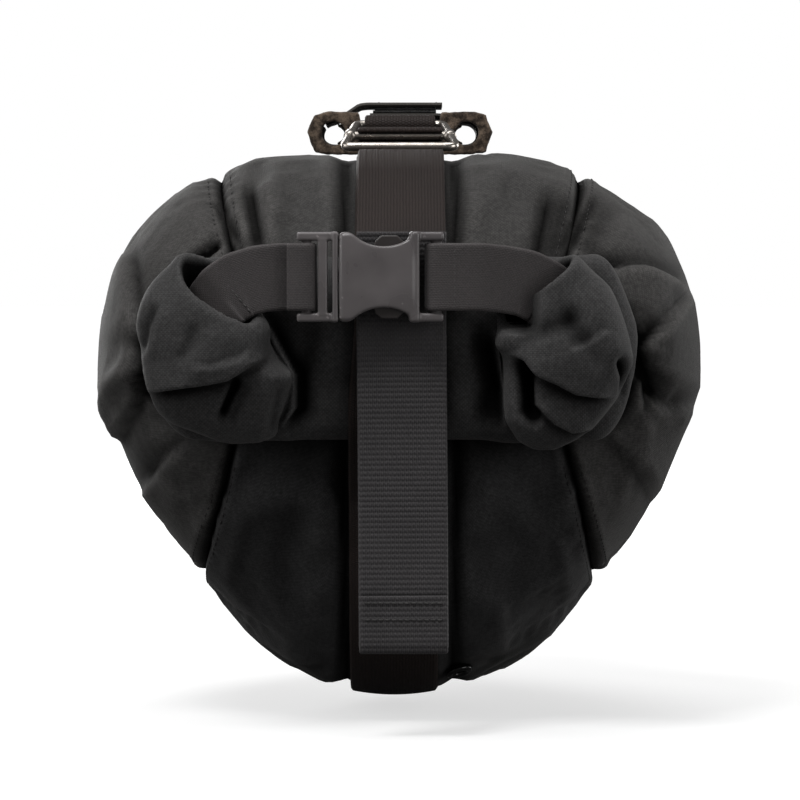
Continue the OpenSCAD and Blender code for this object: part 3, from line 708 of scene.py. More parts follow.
def body_grid(u, angles):
    """Outer and inner points of the finished body, its normals, and the shade painted onto each place: dark in
    folds, seam valleys and beside the strap, light on raised plies.
    """
    uu, aa = np.meshgrid(u, angles, indexing="ij")
    p, n = skin(uu, aa), skin_normal(uu, aa)
    x, z, off = p[..., 0], p[..., 2], np.abs(p[..., 0])
    ends = ease(uu / 0.06) * ease((1 - uu) / 0.03)
    eyelet_off = np.linalg.norm(p - skin(*EYELET_AT), axis=-1)
    loose = ease((off - STRAP_HALF - 0.1) / 9.0) * ease((eyelet_off - 5.0) / 6.0)
    move = puff(uu, aa) * (loose * ends)[..., None]
    # a welt along each seam, and a groove beside the strap
    per_degree = np.linalg.norm(skin(uu, aa + 0.5) - skin(uu, aa - 0.5), axis=-1)
    seam = nearest_seam(aa) * per_degree
    low = (np.sin(np.radians(aa)) < 0) | (uu > 0.55)
    out = -1.9 * np.exp(-(seam / 1.3) ** 2) + 0.5 * np.exp(-((seam - 3.6) / 1.8) ** 2)
    out -= 1.5 * np.exp(-((off - 17.2) / 2.4) ** 2) * np.where(low, 1.0, 0.3) * ends
    rear = ease((-168 - p[..., 1]) / 30.0)
    folds, soft = np.zeros(x.shape), np.zeros(x.shape)
    for line, depth, width, lip in BODY_CREASES:
        valley = rear * crease(x, z, line, depth, width, lip) * loose
        folds += valley
        soft += valley * (0.75 if width > 3.0 else 0.0)
    for line, height, reach in BODY_LEDGES:
        folds += rear * ledge(x, z, line, height, reach, sharp=1.1) * loose
    # painted shade in the valleys and undercuts (less for wide creases) and painted highlight on raised lips;
    # painted shade also along the seam valleys and beside the strap
    shade = soft - folds
    shade = np.where(shade > 0, shade / 2.4, shade / 4.0)
    shade = np.maximum(shade, 0.85 * np.exp(-(seam / 1.1) ** 2))
    shade = np.maximum(shade, 0.8 * np.exp(-((off - 17.0) / 2.0) ** 2) * np.where(low, 1.0, 0.45) * ends)
    out += folds
    rough = wrinkle_noise(p, 26.0, (1.0, 0.45, 1.0), 3.1)
    fold = 1 - 2 * np.abs(wrinkle_noise(p, 34.0, (1.0, 0.7, 0.8), 11.7))
    out += (0.8 * rough + 0.85 * fold - 0.3) * loose * ends
    inward = (move * n).sum(-1) + out
    out += np.maximum(inward, -LINER_GAP) - inward
    outer = p + move + n * out[..., None]
    normal = unit(np.cross(np.gradient(outer, axis=1), np.gradient(outer, axis=0)))
    normal *= np.sign((normal * n).sum(-1))[..., None]
    return outer, outer - CLOTH_T * normal, normal, shade


def panel_angles(a0, a1, spacing=1.9):
    """Columns of a panel: even along its arc, closer together next to both seams."""
    if -180 <= a0 < a1 <= 180:
        start, end = np.interp([a0, a1], FINE_A, FINE_ARC)
        fine, along, total = FINE_A, FINE_ARC - start, end - start
    else:
        fine = np.linspace(a0, a1, 721)
        along = run(skin(0.75, fine))
        total = along[-1]
    near = np.array([0, 0.5, 1.0, 1.6, 2.3, 3.2, 4.4, 5.9])
    middle = np.linspace(7.6, total - 7.6, max(2, int(round((total - 15.2) / spacing)) + 1))
    return np.interp(np.concatenate([near, middle, total - near[::-1]]), along, fine)


def panel_rows(count=118):
    """Rows even along the bag's side."""
    fine = np.linspace(0, 1, 600)
    along = run(skin(fine, 30.0))
    return np.interp(np.linspace(0, along[-1], count), along, fine)


def body_panel(name, a0, a1, node, slot):
    outer, inner, normal, shade = body_grid(panel_rows(), panel_angles(a0 + 0.03, a1 - 0.03))
    along, across = run(outer), run(outer[len(outer) // 2])
    uv = np.stack([np.broadcast_to(across, along.shape), along], -1)
    obj = solid_sheet(name, outer, inner, slot, uv)
    # the outer sheet carries the painted shade and highlight, the inner sheet none
    mark_painted_fold_shade(obj.data, np.concatenate([shade.ravel(), np.zeros(shade.size)]))
    give(obj, "bag", node, slot=slot)
    return outer, normal


PANELS = {
    "top_shell": (SEAM_TOP, 180 - SEAM_TOP, "top_panel", "shell"),
    "side_shell_right": (SEAM_LOW, SEAM_TOP, "side_panel_right", "shell"),
    "side_shell_left": (180 - SEAM_TOP, 180 - SEAM_LOW, "side_panel_left", "shell"),
    "base_shell": (-180 - SEAM_LOW, SEAM_LOW, "base_panel", "shell_low"),
}
made = {name: body_panel(name, *spec) for name, spec in PANELS.items()}

# topstitching beside each long seam, in both panels that it joins
topstitching = []
for name in ("side_shell_right", "side_shell_left", "base_shell", "top_shell"):
    outer, normal = made[name]
    for column in (5, -6):
        topstitching.append((outer[4:-6, column] + 0.05 * normal[4:-6, column], normal[4:-6, column]))
give(stitches("seam_stitches", topstitching, pitch=2.6, length=1.7, radius=0.17, material="piping"), "bag")

# ---------------------------------------------------------------- nose


def nose():
    angles = np.linspace(0, 360, 121)[:-1]
    ring = bag(0.0, angles)
    middle = (NOSE_TOP + NOSE_BOTTOM) / 2
    centre = np.array([0, NOSE_Y - LEAN * middle, middle])
    lean = math.atan(LEAN)
    ahead = np.array([0, math.cos(lean), math.sin(lean)])
    front, back = [], []
    for k, size in enumerate((1.0, 0.985, 0.96, 0.92, 0.86, 0.78, 0.68, 0.56, 0.42, 0.26, 0.1)):
        p = centre + (ring - centre) * size
        bulge = 1.5 * (1 - size ** 2) * ease((np.abs(p[:, 0]) - 20) / 10)
        bulge += wrinkle_noise(p, 20.0) * 0.35 * (1 - size)
        lift = 0.5 + CLOTH_T - (0.7 if k == 0 else 0) + bulge
        front.append(p + ahead * lift[:, None])
        back.append(p + ahead * 0.5)
    give(loft("nose_shell", front[::-1] + back, "shell_low"), "bag", "nose_panel", slot="shell_low")
    edge = bag(0.0, angles, 0.9) + ahead * 0.2
    give(tube("nose_binding", edge, 1.5, "piping", closed=True, around=12, step=1.5), "bag", slot="tape")
    inner = centre + (ring - centre) * 0.94 + ahead * (0.5 + CLOTH_T + 0.05)
    give(stitches("nose_stitches", [([*inner, inner[0]], ahead)], 2.8, 1.8, 0.2), "bag")


nose()

# ---------------------------------------------------------------- roll, with both ends folded back


def catmull(keys, per):
    k = np.asarray(keys, float)
    padded = np.concatenate([2 * k[:1] - k[1:2], k, 2 * k[-1:] - k[-2:-1]])
    rows = []
    for i in range(len(k) - 1):
        p0, p1, p2, p3 = padded[i:i + 4]
        for f in np.arange(per) / per:
            rows.append(0.5 * (2 * p1 + (p2 - p0) * f + (2 * p0 - 5 * p1 + 4 * p2 - p3) * f ** 2
                               + (3 * p1 - p0 - 3 * p2 + p3) * f ** 3))
    rows.append(k[-1])
    return np.array(rows)


def sack_rings(keys):
    """Rings of a gathered end, from keys of centre x, y, z, half width, half depth, slope across and back."""
    a = np.linspace(0, 2 * np.pi, 72, endpoint=False)
    ca, sa = np.cos(a), np.sin(a)
    r = squarish(ca, sa, 2.4)
    rings = []
    for cx, cy, cz, rx, ry, sx, sy in catmull(keys, 6):
        dx, dy = rx * r * ca, ry * r * sa
        rings.append(np.stack([cx + dx, cy + dy, cz + sx * dx + sy * dy], 1))
    return np.array(rings)


ROLL_Y = MOUTH_Y - ROLL_HALF_T - 0.6


def core_rings():
    """The roll itself, from end to end, rounded off where the gathered ends begin."""
    a = np.linspace(0, 2 * np.pi, 72, endpoint=False)
    ca, sa = np.cos(a), np.sin(a)
    r = squarish(ca, sa, 2.6)
    rings = []
    for x in np.concatenate([np.linspace(-75, -62, 12), np.linspace(-58, 56, 40), np.linspace(58, 70, 12)]):
        far = max((-62 - x) / 13.5, (x - 58) / 12.5, 0)
        f = max(0.05, math.sqrt(max(0.0, 1 - far ** 2)))
        rings.append(np.stack([np.full(a.shape, x), ROLL_Y + ROLL_HALF_T * (0.4 + 0.6 * f) * f * r * ca,
                               ROLL_Z + ROLL_HALF_H * f * r * sa], 1))
    return np.array(rings)


# keys of the two gathered ends and of the knuckles behind them, as sack_rings takes them
LEFT_END = [
    (-46, -246, 25, 4, 2, 0, 0), (-49, -247, 28, 12, 5.5, -0.05, 0), (-54, -248, 33, 18, 9, -0.05, 0),
    (-55, -249, 40, 21, 12, -0.05, 0), (-55, -250, 47, 22, 13, -0.1, 0.1),
    (-57, -251.5, 54.5, 20.5, 12.6, -0.3, 0.35), (-57, -253, 61, 17.5, 11.3, -0.5, 0.6),
    (-54.8, -254, 66.5, 14.2, 10.3, -0.6, 0.78), (-53.8, -254, 69.4, 12.8, 9.8, -0.62, 0.8),
    (-53.6, -254, 70.2, 11.9, 8.9, -0.62, 0.8), (-53.6, -254, 69.4, 10.9, 7.9, -0.62, 0.8),
    (-54, -254, 64.5, 10.2, 7, -0.6, 0.7), (-55, -253, 57, 9, 6, -0.5, 0.5),
    (-55, -252.5, 53, 3, 2, -0.4, 0.3),
]
RIGHT_END = [
    (43, -246, 23, 3, 2, 0, 0), (44.5, -247, 26, 9.5, 5, 0.05, 0), (46.5, -248, 31.5, 14, 8.5, 0.05, 0),
    (49.3, -249, 40, 17.3, 11.2, 0.05, 0), (50.4, -250, 48, 18.6, 13, 0.05, 0),
    (49.5, -251, 55.5, 18.2, 13.2, 0.2, 0),
    (46.3, -252.2, 62.5, 16.8, 12, 0.42, 0.1), (43, -253.2, 68.5, 13.8, 10.6, 0.55, 0.2),
    (41, -253.8, 72.4, 12, 9.5, 0.62, 0.3), (40.8, -253.8, 73.2, 11.1, 8.6, 0.62, 0.3),
    (40.8, -253.8, 72.4, 10.1, 7.6, 0.62, 0.3), (41, -253.6, 68, 9.5, 6.8, 0.6, 0.2),
    (43, -253, 60, 9, 6, 0.4, 0),
    (43, -252.5, 56, 3, 2, 0.2, 0),
]
KNUCKLES = [
    [(-60, -241, 30, 3, 2, 0, 0), (-60, -241, 34, 7, 7, 0, 0), (-61, -241, 45, 8.5, 9.5, 0, 0),
     (-61, -241, 58, 8, 9, 0, 0), (-60, -241, 66, 6, 6, 0, 0), (-60, -241, 70, 2, 2, 0, 0)],
    [(52, -241, 28, 3, 2, 0, 0), (52, -241, 32, 7, 7, 0, 0), (53, -241, 43, 8.5, 9.5, 0, 0),
     (52, -241, 56, 8, 9, 0, 0), (50, -241, 66, 6, 6, 0, 0), (49, -241, 71, 2, 2, 0, 0)],
]
# folds in the roll: line, depth, width, lip
ROLL_CREASES = [
    ([(-47, 45.3), (-51, 37.4), (-54, 31)], 2.6, 1.2, -0.4),
    ([(-38, 27), (-36.5, 36), (-35, 44)], 1.0, 1.6, 0.5),
    ([(-72, 68), (-75, 60), (-77, 50)], 1.3, 1.5, 0.4),
    ([(-60, 62), (-62, 54), (-67, 48)], 1.0, 2.4, 0.8),
    ([(35.8, 52), (36.8, 43), (37.8, 35), (42, 30)], 5.0, 2.1, 0.15),
    ([(64, 52), (67.5, 45), (68, 36)], 2.8, 1.6, 0.2),
    ([(32, 60), (38, 57), (47, 60), (56, 66)], 1.1, 2.6, 0.8),
    ([(47, 73), (50, 62), (57, 52), (62, 44)], 1.1, 3.0, 0.7),
    ([(-28, 26), (-29, 45), (-24, 66)], 1.2, 3.5, -0.6),
    ([(24, 26), (27, 42), (23, 64)], 1.2, 3.5, 0.6),
]
# plies folded over each other at the roll's ends: line (the raised ply on its left), height, reach
ROLL_LEDGES = [
    ([(-77, 39.5), (-66.9, 41.3), (-57.6, 42.5), (-51, 44), (-47, 46.6), (-39, 50.5)], 2.6, 6.0),
    ([(-44, 54), (-49, 50), (-56, 48.5), (-62, 49)], 0.9, 4.0),
    ([(33, 52.5), (40.4, 45.7), (47, 42.5), (51.9, 39.9), (64, 38)], 2.6, 6.0),
    ([(40, 37.5), (42.8, 34), (46.1, 31), (51, 28.6), (57.5, 29.5)], 1.7, 4.0),
    ([(-37, 27), (-31, 35), (-31, 45), (-38, 58), (-43, 66)], 2.4, 6.0),
    ([(31.5, 26), (30.5, 42), (27.5, 60)], -2.0, 4.0),
    ([(62, 60), (55, 55), (49, 53)], 0.8, 5.0),
]


def remeshed(name, parts, voxel):
    """One skin round several overlapping closed tubes."""
    verts, faces = [], []
    for rings in parts:
        points, quads = capped(rings, len(verts))
        verts += points
        faces += quads
    obj = build(name, verts, faces, "roll")
    mod = obj.modifiers.new("skin", "REMESH")
    mod.mode = "VOXEL"
    mod.voxel_size = voxel * MM
    mod = obj.modifiers.new("soften", "SMOOTH")
    mod.factor, mod.iterations = 0.5, 3
    bpy.context.view_layer.update()
    mesh = bpy.data.meshes.new_from_object(obj.evaluated_get(bpy.context.evaluated_depsgraph_get()))
    obj.modifiers.clear()
    obj.data = mesh
    return obj


# the mouths of the gathered ends, darkened inside with painted shade: centre [x, y] and half sizes
POCKETS = [((-54, -253.8), (10.9, 7.8)), ((41, -253.6), (10.0, 7.4))]
TUCK_Y = -253.2  # the right end's inner edge goes back to here, clear of the socket as the buckle parts


def roll():
    parts = [core_rings(), *map(sack_rings, (LEFT_END, RIGHT_END, *KNUCKLES))]
    obj = remeshed("roll_cloth", parts, 0.75)
    mesh = obj.data
    p = read(mesh.vertices, "co", 3).astype(float) / MM
    n = read(mesh.vertex_normals, "vector", 3).astype(float)
    facing = ease((0.35 - n[:, 1]) / 0.5) * ease((-240 - p[:, 1]) / 5)
    out = np.zeros(len(p))
    for line, depth, width, lip in ROLL_CREASES:
        out += crease(p[:, 0], p[:, 2], line, depth, width, lip) * facing
    for line, height, reach in ROLL_LEDGES:
        out += ledge(p[:, 0], p[:, 2], line, height, reach) * facing
    # painted shade in the valleys and undercuts, painted highlight on raised plies
    shade = np.where(out < 0, -out / 2.4, -out / 5.0)
    # painted shade inside the mouths of the gathered ends, above z 52
    for (x, y), (across, deep) in POCKETS:
        pocket = np.hypot((p[:, 0] - x) / across, (p[:, 1] - y) / deep)
        shade = np.maximum(shade, ease((1.1 - pocket) / 0.14) * ease((p[:, 2] - 52) / 3))
    soft = wrinkle_noise(p, 17.0, (1, 1, 1), 5.5)
    fold = 1 - 2 * np.abs(wrinkle_noise(p, 22.0, (1.1, 1, 0.8), 8.8))
    ends = ease((np.abs(p[:, 0] + 2) - 24) / 10)
    away = ease((np.abs(p[:, 0]) - 15.5) / 6)
    out += (0.8 * soft + 0.8 * fold) * ends + 0.4 * soft * away
    p = p + n * out[:, None]
    tuck = ease((42.5 - p[:, 0]) / 5.0) * ease((p[:, 0] - 20) / 4) * ease((p[:, 2] - 57) / 3.5)
    p[:, 1] = np.where(p[:, 1] < TUCK_Y, TUCK_Y + (p[:, 1] - TUCK_Y) * (1 - tuck), p[:, 1])
    mesh.vertices.foreach_set("co", (p * MM).astype(np.float32).ravel())
    mesh.update()
    # stores the painted shade for the roll's colour
    mark_painted_fold_shade(mesh, shade)
    finish_mesh(mesh, "roll")
    give(obj, "bag", "roll_closure", slot="shell")


roll()


def stiffener_sheet():
    """The strip inside the roll, bent a little."""
    xs = np.linspace(-40, 40, 60)
    path = np.stack([xs, ROLL_Y + 0.8 * np.sin(xs / 14), np.full(60, ROLL_Z)], 1)
    obj = strap("collar_sheet", path, (0, 0, 1), 18, 1.0, "sheet", step=1.0, across=14)
    give(obj, "bag", "collar_stiffener", slot="stiffener")


stiffener_sheet()

# ---------------------------------------------------------------- compression strap

WEB_T = 1.5
WIRE_R = 1.5
NEAR_BAR, FAR_BAR = np.array([-149.5, 116.7]), np.array([-125.5, 124.7])
MIDDLE_BAR = (NEAR_BAR + FAR_BAR) / 2
PLY = WEB_T + 0.2
HUG = WEB_T / 2 + 0.2
WRAP_R = WIRE_R + 0.2 + WEB_T / 2


def side_on(points):
    """[y, z] points as 3-D points in the middle plane."""
    p = np.asarray(points, float)
    return np.stack([np.zeros(len(p)), p[:, 0], p[:, 1]], 1)


def arc(c, r, a0, a1, n):
    a = np.radians(np.linspace(a0, a1, n + 1))
    return side_on(np.stack([c[0] + r * np.cos(a), c[1] + r * np.sin(a)], 1))


def over_roll(out, a0, a1):
    a = np.radians(np.linspace(a0, a1, max(2, int(abs(a1 - a0) / 5))))
    n = unit(np.stack([-ROLL_HALF_H * np.cos(a), ROLL_HALF_T * np.sin(a)], 1))
    oval = np.stack([ROLL_Y - ROLL_HALF_T * np.cos(a), ROLL_Z + ROLL_HALF_H * np.sin(a)], 1)
    return side_on(oval + out * n)


def over_top(out, u0, u1):
    return bag(np.linspace(u0, u1, 12), 90.0, out)


def blend_lock(obj):
    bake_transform(obj)


X_AXIS, Y_AXIS, Z_AXIS = (1, 0, 0), (0, 1, 0), (0, 0, 1)
REARWARD = (0, -1, 0)
under_run = np.concatenate([bag(np.linspace(0.3, 0.92, 30), -90.0, HUG), over_roll(HUG, -67, 80),
                            over_top(HUG, 0.63, 0.415), arc(MIDDLE_BAR, WRAP_R, -55, 150, 14)])
under_run[:, 0] -= 1.9 * ease((62 - under_run[:, 2]) / 30) * ease((-120 - under_run[:, 1]) / 40)
load = strap("strap_load_run", under_run, X_AXIS, 27.4, WEB_T, "upper_webbing", step=1.0, across=22,
             cup=lambda p: 1.4 * ease((4 - p[:, 2]) / 14) * ease((-70 - p[:, 1]) / 30))
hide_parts("compression_strap")
blend_lock(load)
upper_run = np.concatenate([arc(NEAR_BAR, WRAP_R, -40, -90, 5), over_top(HUG + PLY, 0.43, 0.63),
                            over_roll(HUG + PLY, 80, 24)])
upper = strap("strap_upper_run", upper_run + (0.3, 0, 0), X_AXIS, 27, WEB_T, "upper_webbing", step=0.8,
              across=30, rib=lambda s, x: 0.09 * np.cos(2 * np.pi * x / 1.9))
blend_lock(upper)

TAIL_Y = ROLL_Y - ROLL_HALF_T - HUG - 2 * PLY
RIB = 1.55


def tail_rib(s, x):
    return 0.22 * (np.abs(np.sin(np.pi * s / RIB)) ** 0.7 - 0.6)


tail_path = [(0.4, TAIL_Y, 88), (0.4, TAIL_Y, 60), (0.7, TAIL_Y - 0.1, 30), (0.9, TAIL_Y - 0.5, 0),
             (1.1, TAIL_Y - 1.0, -36)]
tail = strap("tail_strap", tail_path, X_AXIS, 26.8, WEB_T, "webbing", step=0.26, across=22, rib=tail_rib,
             ease=8)
give(tail, "tail", "strap_tail", slot="webbing")
hem_path = [(1.0, TAIL_Y - 2.25, -20.5), (1.05, TAIL_Y - 2.5, -28), (1.1, TAIL_Y - 2.6, -35),
            (1.1, TAIL_Y - 2.2, -36.8), (1.1, TAIL_Y - 1.2, -37.2)]
hem = strap("tail_hem", hem_path, X_AXIS, 26.6, WEB_T, "webbing", step=0.26, across=22, rib=tail_rib)
give(hem, "tail", slot="webbing")
y = TAIL_Y - 3.45
hem_rows = [(np.linspace((-10.6, y, z), (12.8, y, z), 20), REARWARD) for z in (-22.6, -27.6)]
give(stitches("hem_stitches", hem_rows, 2.0, 1.5, 0.24), "tail")

# ---------------------------------------------------------------- ladder lock


LOCK_HALF_NEAR, LOCK_HALF_FAR, LOCK_BEND = 18.0, 14.2, 2.2


def lock():
    corners = [(-LOCK_HALF_NEAR, *NEAR_BAR), (LOCK_HALF_NEAR, *NEAR_BAR), (LOCK_HALF_FAR, *FAR_BAR),
               (-LOCK_HALF_FAR, *FAR_BAR)]
    pts = []
    for k in range(4):
        a, b, c = (np.array(corners[(k + d) % 4], float) for d in (-1, 0, 1))
        p, q = b + unit(a - b) * LOCK_BEND, b + unit(c - b) * LOCK_BEND
        pts += [p, 0.25 * p + 0.5 * b + 0.25 * q, q]
    give(tube("lock_wire", pts, WIRE_R, "steel", closed=True, around=16, step=0.5), "ladder_lock",
         "ladder_lock_frame", slot="steel")
    half = (LOCK_HALF_NEAR + LOCK_HALF_FAR) / 2
    bar = [(x, *MIDDLE_BAR) for x in (-half, 0, half)]
    give(tube("lock_middle_bar", bar, WIRE_R - 0.05, "steel", around=16), "ladder_lock", "ladder_lock_bar",
         slot="steel")
    for s, side in ((-1, "left"), (1, "right")):
        along = unit(np.array([s * LOCK_HALF_FAR, *FAR_BAR]) - (s * LOCK_HALF_NEAR, *NEAR_BAR))
        c = np.array([s * half, *MIDDLE_BAR])
        ends = [c - along * 1.5, c, c + along * 1.5]
        give(tube("lock_collar_" + side, ends, WIRE_R + 0.55, "steel", around=16, step=0.4), "ladder_lock")


lock()

# ---------------------------------------------------------------- sling and rail wrap

RAIL_Y, RAIL_Z, RAIL_X, RAIL_IN, BAND_T, WRAP_L = -92.5, 122.5, 22.0, 3.55, 1.5, 25.0
SPACER_H = 3.45
SLING_Z = RAIL_Z + SPACER_H + 0.2 + WEB_T / 2
BAND_R = RAIL_IN + BAND_T / 2
TONGUE_Z = SLING_Z - RAIL_Z + WEB_T / 2 + 0.2
PATCH_T = 0.8
FLAP_Z = TONGUE_Z + BAND_T + 2 * PATCH_T + 0.45


def sling():
    start, bend = bag(0.012, 90.0, HUG), bag(0.055, 90.0, HUG)
    half = WRAP_L / 2
    pts = [start, bend, (0, RAIL_Y + half + 2.5, SLING_Z - 1.5), (0, RAIL_Y + half, SLING_Z),
           (0, RAIL_Y - half, SLING_Z), (0, RAIL_Y - half - 5, SLING_Z)]
    pts = np.concatenate([np.array(pts, float), arc(FAR_BAR, WRAP_R, 90, 270, 14),
                          side_on([(RAIL_Y - half - 8, FAR_BAR[1] - WRAP_R + 0.6)])])
    give(strap("sling_webbing", pts, X_AXIS, 23, WEB_T, "upper_webbing", step=0.8, across=20, ease=2), "bag",
         "anchor_loop", slot="webbing")
    low, high = bag(0.02, 90.0, HUG + 0.75), bag(0.06, 90.0, HUG + 0.75)
    rows = [(np.array([low + (x, 0, 0), high + (x, 0, 0)]), Z_AXIS) for x in (-9.4, 9.4)]
    give(stitches("sling_stitches", rows, 2.0, 1.4, 0.22), "bag")


sling()


def across_rails(points):
    """[x, z] points above the rails' centres as 3-D points."""
    p = np.asarray(points, float)
    return np.stack([p[:, 0], np.full(len(p), RAIL_Y), p[:, 1] + RAIL_Z], 1)


def round_rail(s, a0, a1, n, r=BAND_R):
    a = np.radians(np.linspace(a0, a1, n + 1))
    return [(s * RAIL_X + r * math.cos(t), r * math.sin(t)) for t in a]


def pile(height, along, wander, across):
    """Ribs for the soft side of a hook-and-loop tape."""
    return lambda s, x: height * np.sin(s * along + np.sin(x * wander) * 2) * np.sin(x * across)


def hooks(height, pitch):
    return lambda s, x: height * np.sin(s * pitch) * np.sin(x * pitch)


def rail_wrap():
    def band(name, path, thick, material, body, node, slot, width=WRAP_L, **more):
        give(strap(name, across_rails(path), Y_AXIS, width, thick, material, **more), body, node, slot=slot)

    path = round_rail(-1, 145, 270, 10) + [(0, -BAND_R - 0.02)] + round_rail(1, -90, 90, 14)
    path += [(RAIL_X - 1, BAND_R + 0.02), (14.8, TONGUE_Z + BAND_T / 2 - 0.25), (12.5, TONGUE_Z + BAND_T / 2),
             (-10, TONGUE_Z + BAND_T / 2)]
    band("rail_wrap_band", path, BAND_T, "wrap", "bag", "rail_strap", "yoke", step=0.7, ease=1)
    flap = round_rail(-1, 130, 110, 1)
    flap += [(-RAIL_X, BAND_R + 0.1), (-RAIL_X + 3, BAND_R + 1.3), (-13.5, FLAP_Z + BAND_T / 2 - 0.3),
             (-11, FLAP_Z + BAND_T / 2), (14, FLAP_Z + BAND_T / 2)]
    band("rail_wrap_flap", flap, BAND_T, "wrap", "rail_flap", "rail_strap_flap", "yoke", step=0.7, ease=1)
    z = TONGUE_Z + BAND_T + 0.15 + PATCH_T / 2
    band("rail_loop_tape", [(-9, z), (12, z)], PATCH_T, "loop", "bag", "rail_loop_patch", "loop", WRAP_L - 2,
         step=0.8, rib=pile(0.06, 5.1, 3.7, 4.3))
    z = FLAP_Z - 0.15 - PATCH_T / 2
    band("rail_hook_tape", [(-8.5, z), (12, z)], PATCH_T, "hook", "rail_flap", "rail_hook_patch", "hook",
         WRAP_L - 2, step=0.8, rib=hooks(0.05, 6.3))
    rows = []
    for x in (-7, 12):
        line = across_rails([(x, FLAP_Z + BAND_T + 0.03)] * 2)
        line[:, 1] += (-10.5, 10.5)
        rows.append((line, Z_AXIS))
    give(stitches("rail_flap_stitches", rows, 2.0, 1.4, 0.22), "rail_flap")


rail_wrap()


def spacer():
    a = np.radians(np.linspace(109, 251, 15))
    right = [(RAIL_X + 3.65 * math.cos(t), 3.65 * math.sin(t)) for t in a]
    left = [(-x, -z) for x, z in right]
    outline = []
    for part, nxt in ((right, left), (left, right)):
        outline += part
        x0, z0 = part[-1]
        x1, z1 = nxt[0]
        outline += [(x0 + (x1 - x0) * f, z0 + (z1 - z0) * f) for f in np.linspace(0.03, 0.97, 30)]
    outline = np.array(outline)
    rings = []
    stations = [(v, 1.0) for v in np.linspace(-11.5, 11.5, 22)]
    for y, size in [(-12.3, 0.9), (-12.1, 0.97), *stations, (12.1, 0.97), (12.3, 0.9)]:
        pts = across_rails(outline * (1 - (1 - size) * 0.12, size))
        pts[:, 1] += y
        rough = wrinkle_noise(pts, 2.2, (1, 1, 1), 4.0) * 0.3 - 0.25
        pts[:, 2] += np.sign(outline[:, 1]) * rough
        rings.append(pts)
    give(loft("rail_wrap_spacer", rings, "spacer"), "bag", "rail_spacer", slot="spacer")


def rail_pad():
    """The brown end plate of the spacer: a rough hexagon with a hole for each rail."""
    corners = [(-31, 0.5), (-28.5, 6.2), (-25, 7.4), (-13.5, 7.2), (-12.6, 3.2), (12.6, 3.2), (13.5, 7.2),
               (25, 7.4), (28.5, 6.2), (31, 0.5), (28.5, -6.4), (24, -7.2), (-24, -7.2), (-28.5, -6.4)]

    def field(p):
        x, y, z = p
        d = sdf_polygon(x, z, corners)
        for s in (-1, 1):
            d = cut(d, np.hypot(x - s * RAIL_X, z) - 3.75, 0.4)
        # the noise is worked out at every other point only, to save time
        rough = wrinkle_noise(np.stack([x, y, z], -1)[::2, ::2, ::2], 2.4, (1, 1, 1), 2.0)
        rough = np.kron(rough, np.ones((2, 2, 2)))[:x.shape[0], :x.shape[1], :x.shape[2]]
        return rounded(d + 0.8, np.abs(y) - 1.3, 0.8) + 0.35 * rough + 0.25

    place = (0, RAIL_Y - 15.2, RAIL_Z)
    pad = moulded("rail_wrap_pad", field, (-33, -2.9, -9), (33, 2.9, 9), 0.5, "spacer", place)
    give(pad, "bag", slot="spacer")


spacer()

# ---------------------------------------------------------------- seatpost strap

POST_R, PAD_T, POST_H = 15.8, 2.4, 38.0
STRAP_IN = POST_R + PAD_T + 0.3
STRAP_MID = STRAP_IN + WEB_T / 2
POST_PATCH_T = 0.9
FLAP_R = STRAP_IN + 1.5 * WEB_T + 2 * POST_PATCH_T + 0.5
POST_LEAN = math.radians(16.5)
POST_AXIS = (0, -math.sin(POST_LEAN), math.cos(POST_LEAN))


def round_post(radius, angles):
    a = np.radians(np.asarray(angles, float))
    r = np.broadcast_to(radius, a.shape)
    x, y = r * np.cos(a), r * np.sin(a)
    return np.stack([x, y * math.cos(POST_LEAN), y * math.sin(POST_LEAN)], 1)


def seatpost_strap():
    def band(name, path, width, thick, material, body, node, slot, rib=None, ease=1):
        obj = strap(name, path, POST_AXIS, width, thick, material, step=0.8, across=26, rib=rib, ease=ease)
        give(obj, body, node, slot=slot)

    def turn(radius, a0, a1):
        return round_post(radius, np.linspace(a0, a1, 90))

    band("post_webbing", turn(STRAP_MID, 152, 420), POST_H, WEB_T, "upper_webbing", "bag", "post_strap",
         "webbing")
    band("post_grip_pad", turn(POST_R + 0.05 + (PAD_T - 0.05) / 2, 152, 420), POST_H - 4, PAD_T - 0.35,
         "rubber", "bag", "post_pad", "grip", rib=lambda s, x: 0.14 * np.cos(2 * np.pi * x / 3.4))
    band("post_loop_tape", turn(STRAP_IN + WEB_T + 0.15 + POST_PATCH_T / 2, -20, 58), POST_H - 4, POST_PATCH_T,
         "loop", "bag", "post_loop_patch", "loop", rib=pile(0.07, 4.7, 2.9, 3.9))
    band("post_hook_tape", turn(STRAP_IN + WEB_T + POST_PATCH_T + 0.3 + POST_PATCH_T / 2, -14, 56), POST_H - 4,
         POST_PATCH_T, "hook", "post_flap", "post_hook_patch", "hook", rib=hooks(0.06, 5.6))
    a = np.concatenate([np.linspace(149, 60, 40), np.linspace(58, -16, 34)])
    k = ease((140 - a) / 80)
    path = round_post(np.where(a >= 60, STRAP_MID + (FLAP_R - STRAP_MID) * k, FLAP_R), a)
    band("post_flap_webbing", path, POST_H, WEB_T, "upper_webbing", "post_flap", "post_strap_flap", "webbing",
         ease=2)
    up = np.array(POST_AXIS)
    rows = []
    for angle in (-12, 50):
        c = round_post(FLAP_R + WEB_T / 2 + 0.05, [angle])[0]
        rows.append((np.array([c - up * 16, c + up * 16]), round_post(1.0, [angle])[0]))
    give(stitches("post_flap_stitches", rows, 2.2, 1.6, 0.24), "post_flap")


seatpost_strap()

# ---------------------------------------------------------------- side-release buckle

BUCKLE = np.array([-18.4, -258.2, 74.5])
BUCKLE_H = 26.6 / 2


